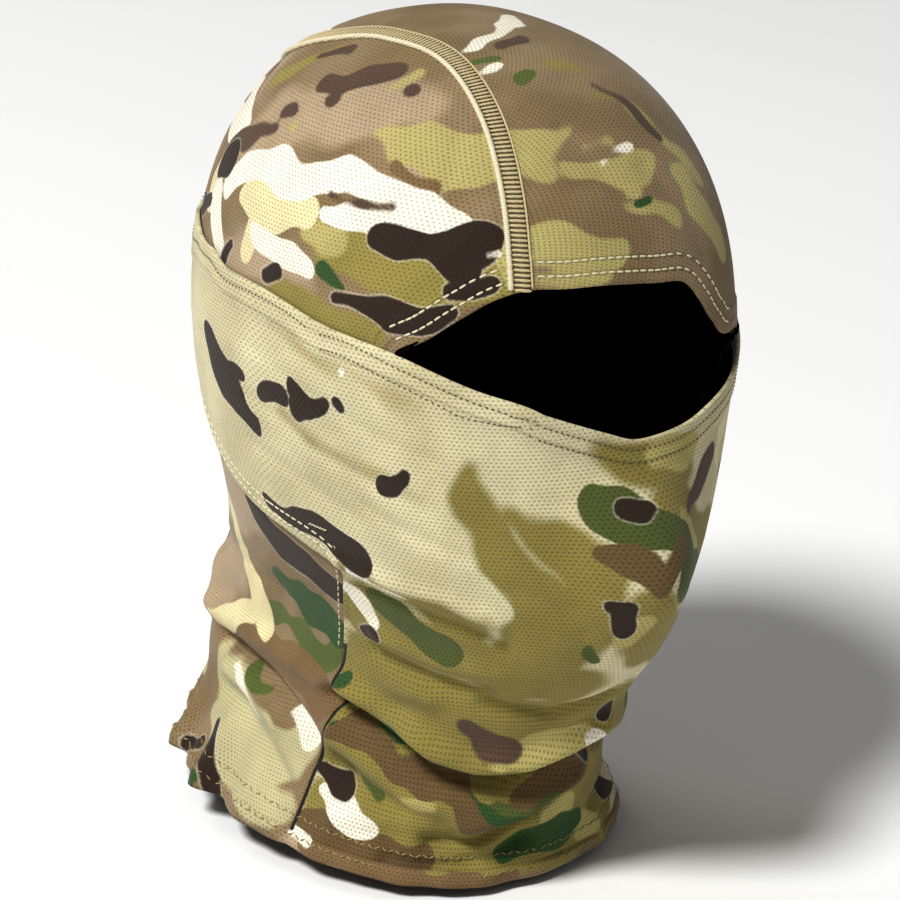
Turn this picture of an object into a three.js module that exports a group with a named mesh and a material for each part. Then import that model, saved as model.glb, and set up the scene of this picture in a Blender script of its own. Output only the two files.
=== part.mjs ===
// Camouflage face mask: a knitted hood with a face cover that pulls down off the nose.
// Millimetres, +Z up. The wearer looks along -Y and the wearer's left is +X. The origin is
// the centre of the widest ring of the head inside the hood.
import * as THREE from 'three';

// ---- driving dimensions ------------------------------------------------------------------
const CROWN_HEIGHT = 104; // top of the head form above the widest ring
const DROP = 180; // bottom hem below the widest ring
const CROWN_POWER = 2.2; // squareness of the crown, seen from the side
const SECTION_POWER = 2.3; // squareness of a level section, seen from above
const CROWN_LEAN = 1; // the top of the crown sits this far behind the ring's middle
const HEM_TILT = 8; // the front of the bottom hem hangs this much lower than its middle
const NOSE_WIDTH = 21; // spread of the nose under the cloth, each side

// The form at ten even levels, from the widest ring down to the bottom hem.
const HALF_WIDTH = [81, 79, 75, 69, 61, 54, 51, 53, 59, 70];
const MIDDLE_BACK = [1, 2, 3, 6, 13, 23, 31, 35, 36, 37];
const FRONT_REACH = [101, 100, 101, 104, 108, 111, 105, 94, 89, 90];
const BACK_REACH = [93, 91, 87, 82, 80, 80, 80, 78, 75, 78];
const NOSE_REACH = [0, 3, 14, 20, 12, 3, 0, 0, 0, 0];

// Layers, measured outward from the form.
const CLOTH = 1.2;
const HOOD_LAYER = [0, CLOTH];
const INSIDE_FOLD = [-2, -1]; // a hem's turned part, inside the hood
const HOOD_THREAD = [CLOTH + 0.9, CLOTH + 1.5];
const HEM_THREAD = [CLOTH + 1.5, CLOTH + 2.1]; // clears the flare above the bottom hem
const COVER_LAYER = [3.6, 3.6 + CLOTH];
const COVER_FOLD = [2.1, 3]; // a hem's turned part, inside the face cover
const COVER_THREAD = [COVER_LAYER[1] + 0.8, COVER_LAYER[1] + 1.4];

const HEM_WIDTH = 10;
const ROW_WIDTH = 1.2;
const HEM_ROWS = [3.5, 8]; // the two needle rows, from the hem's edge
const SEAM_WIDTH = 6;
const SEAM_GAP = 0.006; // half the gap between the two hood halves, in chart units
const CORD_SIDE = 4;

// ---- colours -----------------------------------------------------------------------------
const COLOURS = {
  hood: 0x8f7c58,
  cover: 0xb5a983,
  fold: 0x4b4435,
  thread: 0xcdbf98,
  seam: 0xa8986f,
};

// ---- lines on the form, each point [degrees from the nose, level] ------------------------
const CENTRE_SEAM = [
  [-26.5, 39.5], [-27, 67], [-31, 88], [-51, 99.5], [-95, 100.5], [-125, 95.5],
  [-145, 87], [-166, 72], [-178, 54], [180, 20], [180, -40], [180, -110], [180, -174],
];
const BROW_RIGHT = [[-26.5, 39.5], [-34, 36], [-40, 31], [-48, 23], [-55, 17]];
const BROW_LEFT = [
  [-26.5, 39.5], [-14, 39.5], [2, 37.5], [12, 35], [17.5, 27], [22, 19], [30, 11.5], [50, 2],
];
const UNDER_RIGHT = [[-55, 17], [-63, -20]];
const UNDER_LEFT = [[50, 2], [63, -25]];
const SIDE_SEAM = [[74, -68], [75, -90], [74, -110], [72, -130], [72.5, -150], [72, -174]];
const COVER_TOP = [
  [-74, 20.5], [-54, 15.7], [-37, 7.4], [-20, -1.5], [-7, -9.4], [2, -13.5], [16, -11],
  [35, -5], [54, 6], [74, 16],
];
const COVER_LOW = [
  [-74, -67.5], [-54, -72], [-39, -76], [-20, -92], [0, -104], [20, -92], [39, -76],
  [54, -72], [74, -67.5],
];
const WING_TOP_RIGHT = [[-75, 20.7], [-96, 25], [-106, 28], [-116, 29], [-134, 31], [-179, 34]];
const WING_TOP_LEFT = [[75, 16.3], [92, 22], [106, 27], [116, 29], [134, 31], [179, 34]];
const WING_LOW = [[75, -67.5], [90, -61], [104, -54], [118, -42], [140, -32], [179, -28]];
const NECK_TOP = [
  [-71.5, -65], [-54, -66], [-39, -69], [-20, -84], [0, -95], [20, -84], [39, -69], [54, -66],
  [71.5, -65],
];
const NECK_INSET = 1.5; // degrees between the neck panel's edge and the side seam's line

const mirrored = (line) => line.map(([angle, level]) => [-angle, level]);

// ---- the head form -----------------------------------------------------------------------
function smoothStep(value) {
  const u = Math.min(Math.max(value, 0), 1);
  return u * u * (3 - 2 * u);
}

// A value between evenly spaced levels, on a smooth curve through them.
function atLevel(list, share) {
  const last = list.length - 1;
  const place = Math.min(Math.max(share, 0), 1) * last;
  const index = Math.min(Math.floor(place), last - 1);
  const u = place - index;
  const p1 = list[index];
  const p2 = list[index + 1];
  const p0 = index > 0 ? list[index - 1] : 2 * p1 - p2;
  const p3 = index + 2 <= last ? list[index + 2] : 2 * p2 - p1;
  const square = (2 * p0 - 5 * p1 + 4 * p2 - p3) * u * u;
  const cube = (3 * p1 - p0 - 3 * p2 + p3) * u * u * u;
  return 0.5 * (2 * p1 + (p2 - p0) * u + square + cube);
}

const signedPower = (value, power) => Math.sign(value) * Math.abs(value) ** power;

// The flat chart: the crown's top is its middle, the widest ring has radius 1 and the bottom
// hem radius 2. The direction from the middle is the direction round the head, from the nose.
function formPoint(chart) {
  const radius = Math.hypot(chart.x, chart.y);
  const angle = Math.atan2(chart.x, chart.y);
  const slope = (Math.min(radius, 1) * Math.PI) / 2;
  const spread = Math.abs(Math.sin(slope)) ** (2 / CROWN_POWER);
  const rise = radius < 1 ? Math.abs(Math.cos(slope)) ** (2 / CROWN_POWER) : 0;
  const share = Math.max(radius - 1, 0);
  const across = Math.sin(angle);
  const ahead = Math.cos(angle);
  const reach = ahead > 0 ? FRONT_REACH : BACK_REACH;
  const power = 2 / SECTION_POWER;
  const x = atLevel(HALF_WIDTH, share) * spread * signedPower(across, power);
  const middle = atLevel(MIDDLE_BACK, share) * spread + CROWN_LEAN * rise;
  const nose = ahead > 0 ? atLevel(NOSE_REACH, share) * Math.exp(-((x / NOSE_WIDTH) ** 2)) : 0;
  const y = middle - atLevel(reach, share) * spread * signedPower(ahead, power) - nose;
  const tilt = HEM_TILT * ahead * smoothStep((share - 0.5) / 0.5);
  return new THREE.Vector3(x, y, CROWN_HEIGHT * rise - DROP * share - tilt);
}

function chartOf([degrees, level]) {
  const angle = THREE.MathUtils.degToRad(degrees);
  const lower = 1 - level / DROP;
  const upper = (2 / Math.PI) * Math.acos((Math.max(level, 0) / CROWN_HEIGHT) ** (CROWN_POWER / 2));
  const radius = level > 0 ? upper : lower;
  return new THREE.Vector2(radius * Math.sin(angle), radius * Math.cos(angle));
}

const CHART_STEP = 0.004;

function chartSlopes(chart) {
  const east = new THREE.Vector2(CHART_STEP, 0);
  const north = new THREE.Vector2(0, CHART_STEP);
  const slope = (step) =>
    formPoint(chart.clone().add(step))
      .sub(formPoint(chart.clone().sub(step)))
      .divideScalar(2 * CHART_STEP);
  return [slope(east), slope(north)];
}

function raised(chart, height) {
  const [east, north] = chartSlopes(chart);
  const normal = north.clone().cross(east).normalize();
  return formPoint(chart).addScaledVector(normal, height);
}

// The chart point that lies `side` millimetres beside a line, on its left as it runs.
function beside(line, share, side) {
  const here = line.getPointAt(share);
  const along = line.getTangentAt(share);
  const [east, north] = chartSlopes(here);
  const travel = east.clone().multiplyScalar(along.x).addScaledVector(north, along.y);
  const normal = north.clone().cross(east).normalize();
  const left = normal.clone().cross(travel).normalize().multiplyScalar(side);
  const ee = east.dot(east);
  const nn = north.dot(north);
  const en = east.dot(north);
  const el = east.dot(left);
  const nl = north.dot(left);
  const scale = ee * nn - en * en;
  return here.add(new THREE.Vector2((el * nn - nl * en) / scale, (nl * ee - el * en) / scale));
}

// ---- builders ----------------------------------------------------------------------------
const lineOn = (points) => new THREE.SplineCurve(points.map(chartOf));

function volumeOf(points, faces) {
  let total = 0;
  for (let k = 0; k < faces.length; k += 3) {
    const [a, b, c] = [points[faces[k]], points[faces[k + 1]], points[faces[k + 2]]];
    total += a.dot(b.clone().cross(c));
  }
  return total;
}

// A closed slab from a grid of chart points, thickened between two heights over the form.
function slab(chartAt, columns, rows, [low, high], closed = false) {
  const points = [];
  const faces = [];
  const across = closed ? columns : columns + 1;
  const index = (i, j, top) => 2 * ((i % across) * (rows + 1) + j) + (top ? 1 : 0);
  for (let i = 0; i < across; i++) {
    for (let j = 0; j <= rows; j++) {
      const chart = chartAt(i / columns, j / rows);
      points.push(raised(chart, low), raised(chart, high));
    }
  }
  const quad = (a, b, c, d) => faces.push(a, b, c, a, c, d);
  for (let i = 0; i < columns; i++) {
    for (let j = 0; j < rows; j++) {
      quad(index(i, j, true), index(i + 1, j, true), index(i + 1, j + 1, true), index(i, j + 1, true));
      quad(index(i, j), index(i, j + 1), index(i + 1, j + 1), index(i + 1, j));
    }
    quad(index(i, 0), index(i + 1, 0), index(i + 1, 0, true), index(i, 0, true));
    quad(index(i, rows, true), index(i + 1, rows, true), index(i + 1, rows), index(i, rows));
  }
  for (let j = 0; j < rows && !closed; j++) {
    quad(index(0, j), index(0, j, true), index(0, j + 1, true), index(0, j + 1));
    quad(index(columns, j, true), index(columns, j), index(columns, j + 1), index(columns, j + 1, true));
  }
  if (volumeOf(points, faces) < 0) {
    faces.reverse();
  }
  const geometry = new THREE.BufferGeometry().setFromPoints(points);
  geometry.setIndex(faces);
  geometry.computeVertexNormals();
  return geometry;
}

// A panel between four lines. `head` and `foot` run the same way, and `start` and `end` run
// from the head line to the foot line.
function panel(head, foot, start, end) {
  const corners = [head.getPointAt(0), head.getPointAt(1), foot.getPointAt(0), foot.getPointAt(1)];
  return (s, t) => {
    const point = head.getPointAt(s).multiplyScalar(1 - t).addScaledVector(foot.getPointAt(s), t);
    point.addScaledVector(start.getPointAt(t), 1 - s).addScaledVector(end.getPointAt(t), s);
    point.addScaledVector(corners[0], -(1 - s) * (1 - t)).addScaledVector(corners[1], -s * (1 - t));
    return point.addScaledVector(corners[2], -(1 - s) * t).addScaledVector(corners[3], -s * t);
  };
}

const straight = (from, to) => new THREE.LineCurve(from, to);
const between = (head, foot) =>
  panel(head, foot, straight(head.getPointAt(0), foot.getPointAt(0)),
    straight(head.getPointAt(1), foot.getPointAt(1)));

const strip = (line, near, far) => (s, t) => beside(line, s, near + (far - near) * t);

// ---- the mask ----------------------------------------------------------------------------
const mask = new THREE.Group();

function add(name, geometry, colour, roughness = 0.9) {
  const material = new THREE.MeshStandardMaterial({ color: COLOURS[colour], roughness, metalness: 0 });
  const mesh = new THREE.Mesh(geometry, material);
  mesh.name = name;
  mask.add(mesh);
}

const centreSeam = lineOn(CENTRE_SEAM);
const shifted = (line, step) => {
  const moved = line.points.map((point) => point.clone().add(new THREE.Vector2(step, 0)));
  return new THREE.SplineCurve(moved);
};

// Round the bottom, from the nape to a side seam, along one level.
function levelArc(level, fromDegrees, toDegrees, pieces = 8) {
  const points = [];
  for (let k = 0; k <= pieces; k++) {
    points.push([fromDegrees + ((toDegrees - fromDegrees) * k) / pieces, level]);
  }
  return lineOn(points);
}

// Each half is one cut piece of cloth. It is in three parts here, so that their collision
// shapes follow the hollow: name, share of the centre seam's length from and to, columns.
const HOOD_PARTS = [
  ['brow_panel', 0, 0.258, 8],
  ['crown_panel', 0.262, 0.538, 8],
  ['nape_panel', 0.542, 1, 12],
];
const PANEL_FOOT = -174;
const SEAM_FOOT = -162; // the seams' ridges end above the hem's needle rows
const SEAM_TOP = -70;
const TACK_LEVEL = -54;
const SIDE_FOOT = SIDE_SEAM[SIDE_SEAM.length - 1][0];

// `rowStart` is the share of the brow line that the centre seam covers.
function addHoodHalf(side, brow, under, seamSign, rowStart) {
  const flip = seamSign < 0 ? mirrored : (line) => line;
  const head = shifted(centreSeam, SEAM_GAP * seamSign);
  const edge = lineOn([...under, ...flip(SIDE_SEAM)]);
  const start = lineOn(brow);
  const nape = head.getPointAt(1);
  const foot = levelArc(PANEL_FOOT, seamSign * 180, seamSign * SIDE_FOOT);
  start.points[0].copy(head.getPointAt(0));
  foot.points[0].copy(nape);
  const half = panel(head, edge, start, foot);
  for (const [name, from, to, columns] of HOOD_PARTS) {
    const part = (s, t) => half(from + (to - from) * s, t);
    add(`${name}_${side}`, slab(part, columns, 16, HOOD_LAYER), 'hood');
  }
  const hemSide = seamSign < 0 ? -1 : 1;
  const fold = strip(lineOn(brow), hemSide * 0.5, hemSide * HEM_WIDTH);
  add(`brow_hem_${side}`, slab(fold, 14, 1, INSIDE_FOLD), 'fold');
  HEM_ROWS.forEach((row, k) => {
    const thread = strip(lineOn(brow), hemSide * row, hemSide * (row + ROW_WIDTH));
    const clear = (u, t) => thread(rowStart + (1 - rowStart) * u, t);
    add(`brow_stitch_${side}_${k + 1}`, slab(clear, 14, 1, HOOD_THREAD), 'thread');
  });
}

addHoodHalf('right', BROW_RIGHT, UNDER_RIGHT, -1, 0.16);
addHoodHalf('left', BROW_LEFT, UNDER_LEFT, 1, 0.05);

const crownPart = (share) => share * 0.55;
const napePart = (share) => 0.56 + share * 0.395;
const seamStrip = (part, near, far) => (s, t) =>
  beside(centreSeam, Math.min(Math.max(part(s), 0.004), 0.996), near + (far - near) * t);
const halfSeam = SEAM_WIDTH / 2;
add('crown_seam', slab(seamStrip(crownPart, -halfSeam, halfSeam), 24, 1, HOOD_THREAD), 'seam');
add('nape_seam', slab(seamStrip(napePart, -halfSeam, halfSeam), 16, 1, HOOD_THREAD), 'seam');
const cord = seamStrip(crownPart, -CORD_SIDE - ROW_WIDTH, -CORD_SIDE);
add('crown_seam_cord', slab(cord, 24, 1, HOOD_THREAD), 'thread');

// The wings of the face cover, which wrap outside the hood to the back of the head.
function addWing(side, top, low, sign) {
  const head = lineOn(top);
  const foot = lineOn(low);
  add(`wing_${side}`, slab(between(head, foot), 12, 8, COVER_LAYER), 'cover');
  const inward = -sign;
  const foldTop = strip(head, inward * 0.5, inward * HEM_WIDTH);
  const foldLow = strip(foot, -inward * 0.5, -inward * HEM_WIDTH);
  const clear = (fold) => (s, t) => fold(0.02 + 0.9 * s, t);
  add(`wing_top_hem_${side}`, slab(clear(foldTop), 10, 1, COVER_FOLD), 'fold');
  add(`wing_low_hem_${side}`, slab(clear(foldLow), 10, 1, COVER_FOLD), 'fold');
  const rowTop = strip(head, inward * HEM_ROWS[0], inward * (HEM_ROWS[0] + ROW_WIDTH));
  const rowLow = strip(foot, -inward * HEM_ROWS[0], -inward * (HEM_ROWS[0] + ROW_WIDTH));
  add(`wing_top_stitch_${side}`, slab(clear(rowTop), 10, 1, COVER_THREAD), 'thread');
  add(`wing_low_stitch_${side}`, slab(clear(rowLow), 10, 1, COVER_THREAD), 'thread');
}

addWing('right', WING_TOP_RIGHT, mirrored(WING_LOW), -1);
addWing('left', WING_TOP_LEFT, WING_LOW, 1);
const bandSeam = lineOn([[180, 32], [180, 10], [180, -26]]);
add('wing_back_seam', slab(strip(bandSeam, -2, 2), 6, 1, COVER_THREAD), 'seam');

// The front of the neck, between the side seams.
const neckHead = lineOn(NECK_TOP);
const neckEdge = SIDE_SEAM.slice(1).map(([angle, level]) => [angle - NECK_INSET, level]);
const neckSide = (sign) =>
  lineOn([NECK_TOP[NECK_TOP.length - 1], ...neckEdge].map(([angle, level]) => [sign * angle, level]));
const neckFoot = levelArc(PANEL_FOOT, NECK_INSET - SIDE_FOOT, SIDE_FOOT - NECK_INSET, 12);
const neckPanel = panel(neckHead, neckFoot, neckSide(-1), neckSide(1));
add('neck_front_panel', slab(neckPanel, 22, 12, HOOD_LAYER), 'cover');

for (const [side, sign] of [['right', -1], ['left', 1]]) {
  const seam = lineOn([[74, SEAM_TOP], ...SIDE_SEAM.slice(1, -1), [SIDE_FOOT, SEAM_FOOT]].map(
    ([angle, level]) => [sign * angle, level]));
  add(`side_seam_${side}`, slab(strip(seam, -1.5, 1.5), 10, 1, HOOD_THREAD), 'seam');
  const tackLine = lineOn([[sign * 76, TACK_LEVEL], [sign * 80, TACK_LEVEL]]);
  add(`side_tack_${side}`, slab(strip(tackLine, -1, 1), 2, 1, COVER_THREAD), 'thread');
}

// The bottom hem, turned up inside, and its two needle rows.
const around = (level) => (s) => chartOf([360 * s, level]);
const ring = (low, high) => (s, t) => around(low + (high - low) * t)(s);
add('bottom_hem', slab(ring(-180, -165), 48, 2, INSIDE_FOLD, true), 'fold');
add('bottom_binding', slab(ring(-180, -175.5), 48, 1, HOOD_LAYER, true), 'hood');
[-171, -167].forEach((level, k) => {
  const row = slab(ring(level, level + ROW_WIDTH), 48, 1, HEM_THREAD, true);
  add(`bottom_stitch_${k + 1}`, row, 'thread');
});

// The face cover, which slides down off the nose and mouth.
const coverTop = lineOn(COVER_TOP);
add('face_panel', slab(between(coverTop, lineOn(COVER_LOW)), 26, 12, COVER_LAYER), 'cover');
const coverFold = strip(coverTop, 0.5 * -1, -HEM_WIDTH);
add('face_top_hem', slab(coverFold, 22, 1, COVER_FOLD), 'fold');
HEM_ROWS.forEach((row, k) => {
  const thread = strip(coverTop, -row, -row - ROW_WIDTH);
  add(`face_top_stitch_${k + 1}`, slab(thread, 22, 1, COVER_THREAD), 'thread');
});

export default mask;
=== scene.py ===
"""Camouflage face mask: a close knitted hood whose front panel covers the face and neck.

Lengths are worked out in millimetres and put into the meshes in metres. The wearer looks
along -Y, the wearer's left is +X, and the origin is the centre of the head's widest ring.
"""
import math

import bpy
import numpy as np
from mathutils import Matrix, Vector


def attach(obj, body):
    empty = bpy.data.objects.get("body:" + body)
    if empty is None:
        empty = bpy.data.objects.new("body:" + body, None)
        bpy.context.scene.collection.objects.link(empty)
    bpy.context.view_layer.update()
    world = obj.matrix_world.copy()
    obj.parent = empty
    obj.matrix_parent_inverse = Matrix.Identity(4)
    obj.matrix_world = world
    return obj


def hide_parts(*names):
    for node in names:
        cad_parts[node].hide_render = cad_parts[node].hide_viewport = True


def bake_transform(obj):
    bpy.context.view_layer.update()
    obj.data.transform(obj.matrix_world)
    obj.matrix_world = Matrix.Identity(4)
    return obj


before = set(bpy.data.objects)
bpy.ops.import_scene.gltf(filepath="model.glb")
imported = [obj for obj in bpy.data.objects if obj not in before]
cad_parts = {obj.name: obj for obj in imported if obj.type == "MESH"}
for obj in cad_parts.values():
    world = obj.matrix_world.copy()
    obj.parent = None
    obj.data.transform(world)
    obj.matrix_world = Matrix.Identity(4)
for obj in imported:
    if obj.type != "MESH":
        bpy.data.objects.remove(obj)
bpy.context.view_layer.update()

MM = 0.001

# ---- the head form under the cloth ---------------------------------------------------------
CROWN_HEIGHT, DROP = 104.0, 180.0
CROWN_POWER, SECTION_POWER = 2.35, 2.3
CROWN_LEAN, HEM_TILT, NOSE_WIDTH = 1.0, 8.0, 21.0
HALF_WIDTH = [81, 79, 75, 69, 61, 54, 51, 53, 59, 70]
MIDDLE_BACK = [1, 2, 3, 6, 13, 23, 31, 35, 36, 37]
FRONT_REACH = [101, 100, 101, 104, 108, 111, 105, 94, 89, 90]
BACK_REACH = [93, 91, 87, 82, 80, 80, 80, 78, 75, 78]
NOSE_REACH = [0, 3, 14, 20, 12, 3, 0, 0, 0, 0]

# ---- lines on the form, each point (degrees from the nose, level) --------------------------
CENTRE_SEAM = [(-26.5, 39.5), (-27, 67), (-31, 88), (-51, 99.5), (-95, 100.5), (-125, 95.5),
               (-145, 87), (-166, 72), (-178, 54), (-180, 20), (-180, -40), (-180, -110),
               (-180, -180)]
BROW_RIGHT = [(-26.5, 39.5), (-34, 36), (-40, 31), (-48, 23), (-55, 17)]
BROW_LEFT = [(-26.5, 39.5), (-14, 39.5), (2, 37.5), (12, 35), (17.5, 27), (22, 19), (30, 11.5),
             (50, 2)]
SIDE_SEAM = [(74, -68), (75, -90), (74, -110), (72, -130), (72.5, -150), (72, -180)]
UNDER_RIGHT = [(-55, 17), (-63, -20)]
UNDER_LEFT = [(50, 2), (63, -25)]
COVER_TOP = [(-74, 20.5), (-54, 15.7), (-37, 7.4), (-20, -1.5), (-7, -9.4), (2, -13.5),
             (16, -11), (35, -5), (54, 6), (74, 16)]
COVER_LOW = [(-74, -67.5), (-54, -72), (-39, -76), (-20, -92), (0, -104), (20, -92), (39, -76),
             (54, -72), (74, -67.5)]
WING_TOP_RIGHT = [(-180, 34), (-134, 31), (-116, 29), (-106, 28), (-96, 25)]
WING_TOP_LEFT = [(92, 22), (106, 27), (116, 29), (134, 31), (180, 34)]
WING_LOW_LEFT = [(90, -61), (104, -54), (118, -42), (140, -32), (180, -28)]


def mirrored(line):
    return [(-angle, level) for angle, level in line]


# How far in from an edge its needle rows lie, and how wide its turned hem shows.
BROW_ROWS, BROW_HEM = (3.8, 8.4), 9.2
COVER_ROWS, COVER_HEM = (3.4, 8.0), 9.4
WING_LOW_ROWS = (3.6, 8.0)
# The cloth's outer face over the form, and how much further out the cover lies over the hood.
CLOTH_LIFT, COVER_OVER = 1.2, 1.3
SIDE = 74  # degrees from the nose to the side seams

WHOLE_TOP = WING_TOP_RIGHT + COVER_TOP + WING_TOP_LEFT
WHOLE_LOW = mirrored(WING_LOW_LEFT)[::-1] + COVER_LOW + WING_LOW_LEFT


def smooth_step(value):
    """3u^2 - 2u^3 of the value held between 0 and 1."""
    u = np.clip(value, 0, 1)
    return u * u * (3 - 2 * u)


def through(points, place):
    """Catmull-Rom curve through evenly numbered points, at places from 0 to the last number."""
    k = np.asarray(points, float)
    last = len(k) - 1
    place = np.clip(place, 0, last)
    i = np.minimum(place.astype(int), last - 1)
    u = place - i
    if k.ndim > 1:
        u = u[..., None]
    ends = np.concatenate([[2 * k[0] - k[1]], k, [2 * k[-1] - k[-2]]])
    a, b, c, d = ends[i], ends[i + 1], ends[i + 2], ends[i + 3]
    return 0.5 * (2 * b + (c - a) * u + (2 * a - 5 * b + 4 * c - d) * u**2
                  + (3 * b - a - 3 * c + d) * u**3)


def at_level(values, share):
    return through(values, share * (len(values) - 1))


def signed_power(value, power):
    return np.sign(value) * np.abs(value) ** power


def head_form(chart):
    """Point on the head for a chart point. The chart's middle is the crown's top, radius 1 the
    widest ring and radius 2 the hem; its direction is the direction round the head. A level
    section is |x/a|^n + |y/b|^n = 1, and the crown above the ring has the same kind of arch."""
    radius = np.hypot(chart[..., 0], chart[..., 1])
    angle = np.arctan2(chart[..., 0], chart[..., 1])
    slope = np.minimum(radius, 1) * np.pi / 2
    spread = np.abs(np.sin(slope)) ** (2 / CROWN_POWER)
    rise = np.where(radius < 1, np.abs(np.cos(slope)) ** (2 / CROWN_POWER), 0)
    share = np.clip(radius - 1, 0, 1)
    ahead = np.cos(angle)
    reach = np.where(ahead > 0, at_level(FRONT_REACH, share), at_level(BACK_REACH, share))
    power = 2 / SECTION_POWER
    x = at_level(HALF_WIDTH, share) * spread * signed_power(np.sin(angle), power)
    nose = at_level(NOSE_REACH, share) * np.exp(-((x / NOSE_WIDTH) ** 2)) * (ahead > 0)
    y = (at_level(MIDDLE_BACK, share) * spread + CROWN_LEAN * rise
         - reach * spread * signed_power(ahead, power) - nose)
    tilt = HEM_TILT * ahead * smooth_step((share - 0.5) / 0.5)
    beyond = np.maximum(radius - 2, 0)
    return np.stack([x, y, CROWN_HEIGHT * rise - DROP * (share + beyond) - tilt], -1)


def chart_of(line):
    """Chart points of (degrees from the nose, level) pairs."""
    pairs = np.asarray(line, float)
    angle, level = np.radians(pairs[..., 0]), pairs[..., 1]
    up = np.clip(level / CROWN_HEIGHT, 0, 1) ** (CROWN_POWER / 2)
    radius = np.where(level > 0, np.arccos(up) * 2 / np.pi, 1 - level / DROP)
    return np.stack([radius * np.sin(angle), radius * np.cos(angle)], -1)


def place_of(chart):
    """(degrees from the nose, level) of chart points."""
    radius = np.hypot(chart[..., 0], chart[..., 1])
    up = np.abs(np.cos(np.minimum(radius, 1) * np.pi / 2)) ** (2 / CROWN_POWER)
    level = np.where(radius < 1, CROWN_HEIGHT * up, DROP * (1 - radius))
    return np.degrees(np.arctan2(chart[..., 0], chart[..., 1])), level


def chart_slopes(chart):
    step = 0.004
    east, north = np.array([step, 0]), np.array([0, step])
    return ((head_form(chart + east) - head_form(chart - east)) / (2 * step),
            (head_form(chart + north) - head_form(chart - north)) / (2 * step))


def unit(v):
    return v / np.maximum(np.linalg.norm(v, axis=-1, keepdims=True), 1e-9)


def form_normal(chart):
    east, north = chart_slopes(chart)
    return unit(np.cross(north, east))


def raised(chart, height):
    """Points at a height over the form, along its normal."""
    return head_form(chart) + form_normal(chart) * np.asarray(height)[..., None]


def run_of(line, count=None, pitch=1.0):
    """Chart points evenly spaced in millimetres along the smooth curve through a line."""
    curve = through(chart_of(line), np.linspace(0, len(line) - 1, 60 * len(line)))
    length = np.concatenate([[0], np.cumsum(np.linalg.norm(np.diff(head_form(curve), axis=0),
                                                           axis=1))])
    count = count or max(int(round(length[-1] / pitch)), 2)
    at = np.linspace(0, length[-1], count + 1)
    return np.stack([np.interp(at, length, curve[:, k]) for k in (0, 1)], -1)


def beside(run, side):
    """The run moved sideways over the form by `side` millimetres, to its left as it goes."""
    travel = np.gradient(run, axis=0)
    east, north = chart_slopes(run)
    normal = unit(np.cross(north, east))
    left = unit(np.cross(normal, east * travel[:, :1] + north * travel[:, 1:]))
    left = left * np.broadcast_to(side, len(run))[:, None]
    ee, nn, en = (east * east).sum(-1), (north * north).sum(-1), (east * north).sum(-1)
    el, nl = (east * left).sum(-1), (north * left).sum(-1)
    scale = ee * nn - en * en
    return run + np.stack([(el * nn - nl * en) / scale, (nl * ee - el * en) / scale], -1)


def distance(points, strokes, fine=True):
    """Smallest distance from each point to rows of capsules: the distance to a segment less
    the radius there. A stroke is [(degrees, level, radius), ...]."""
    best = np.full(len(points), 999.0)
    for stroke in strokes:
        knots = np.asarray(stroke, float)
        if len(knots) > 1 and fine:
            at = np.linspace(0, len(knots) - 1, 3 * len(knots) - 2)
            knots = np.stack([np.interp(at, np.arange(len(knots)), knots[:, k])
                              for k in range(3)], -1)
        middle = raised(chart_of(knots[:, :2]), np.full(len(knots), 1.5))
        if len(knots) == 1:
            best = np.minimum(best, np.linalg.norm(points - middle[0], axis=1) - knots[0, 2])
            continue
        for a, b, ra, rb in zip(middle[:-1], middle[1:], knots[:-1, 2], knots[1:, 2]):
            along = b - a
            t = np.clip((points - a) @ along / max(along @ along, 1e-6), 0, 1)
            gap = np.linalg.norm(points - a - t[:, None] * along, axis=1)
            best = np.minimum(best, gap - ra - t * (rb - ra))
    return best


def line_distance(points, line):
    """Distance from each point to the smooth curve through a line."""
    spots = run_of(line, pitch=4.0)
    angle, level = place_of(spots)
    return distance(points, [[(a, l, 0) for a, l in zip(angle, level)]], fine=False)


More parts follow.
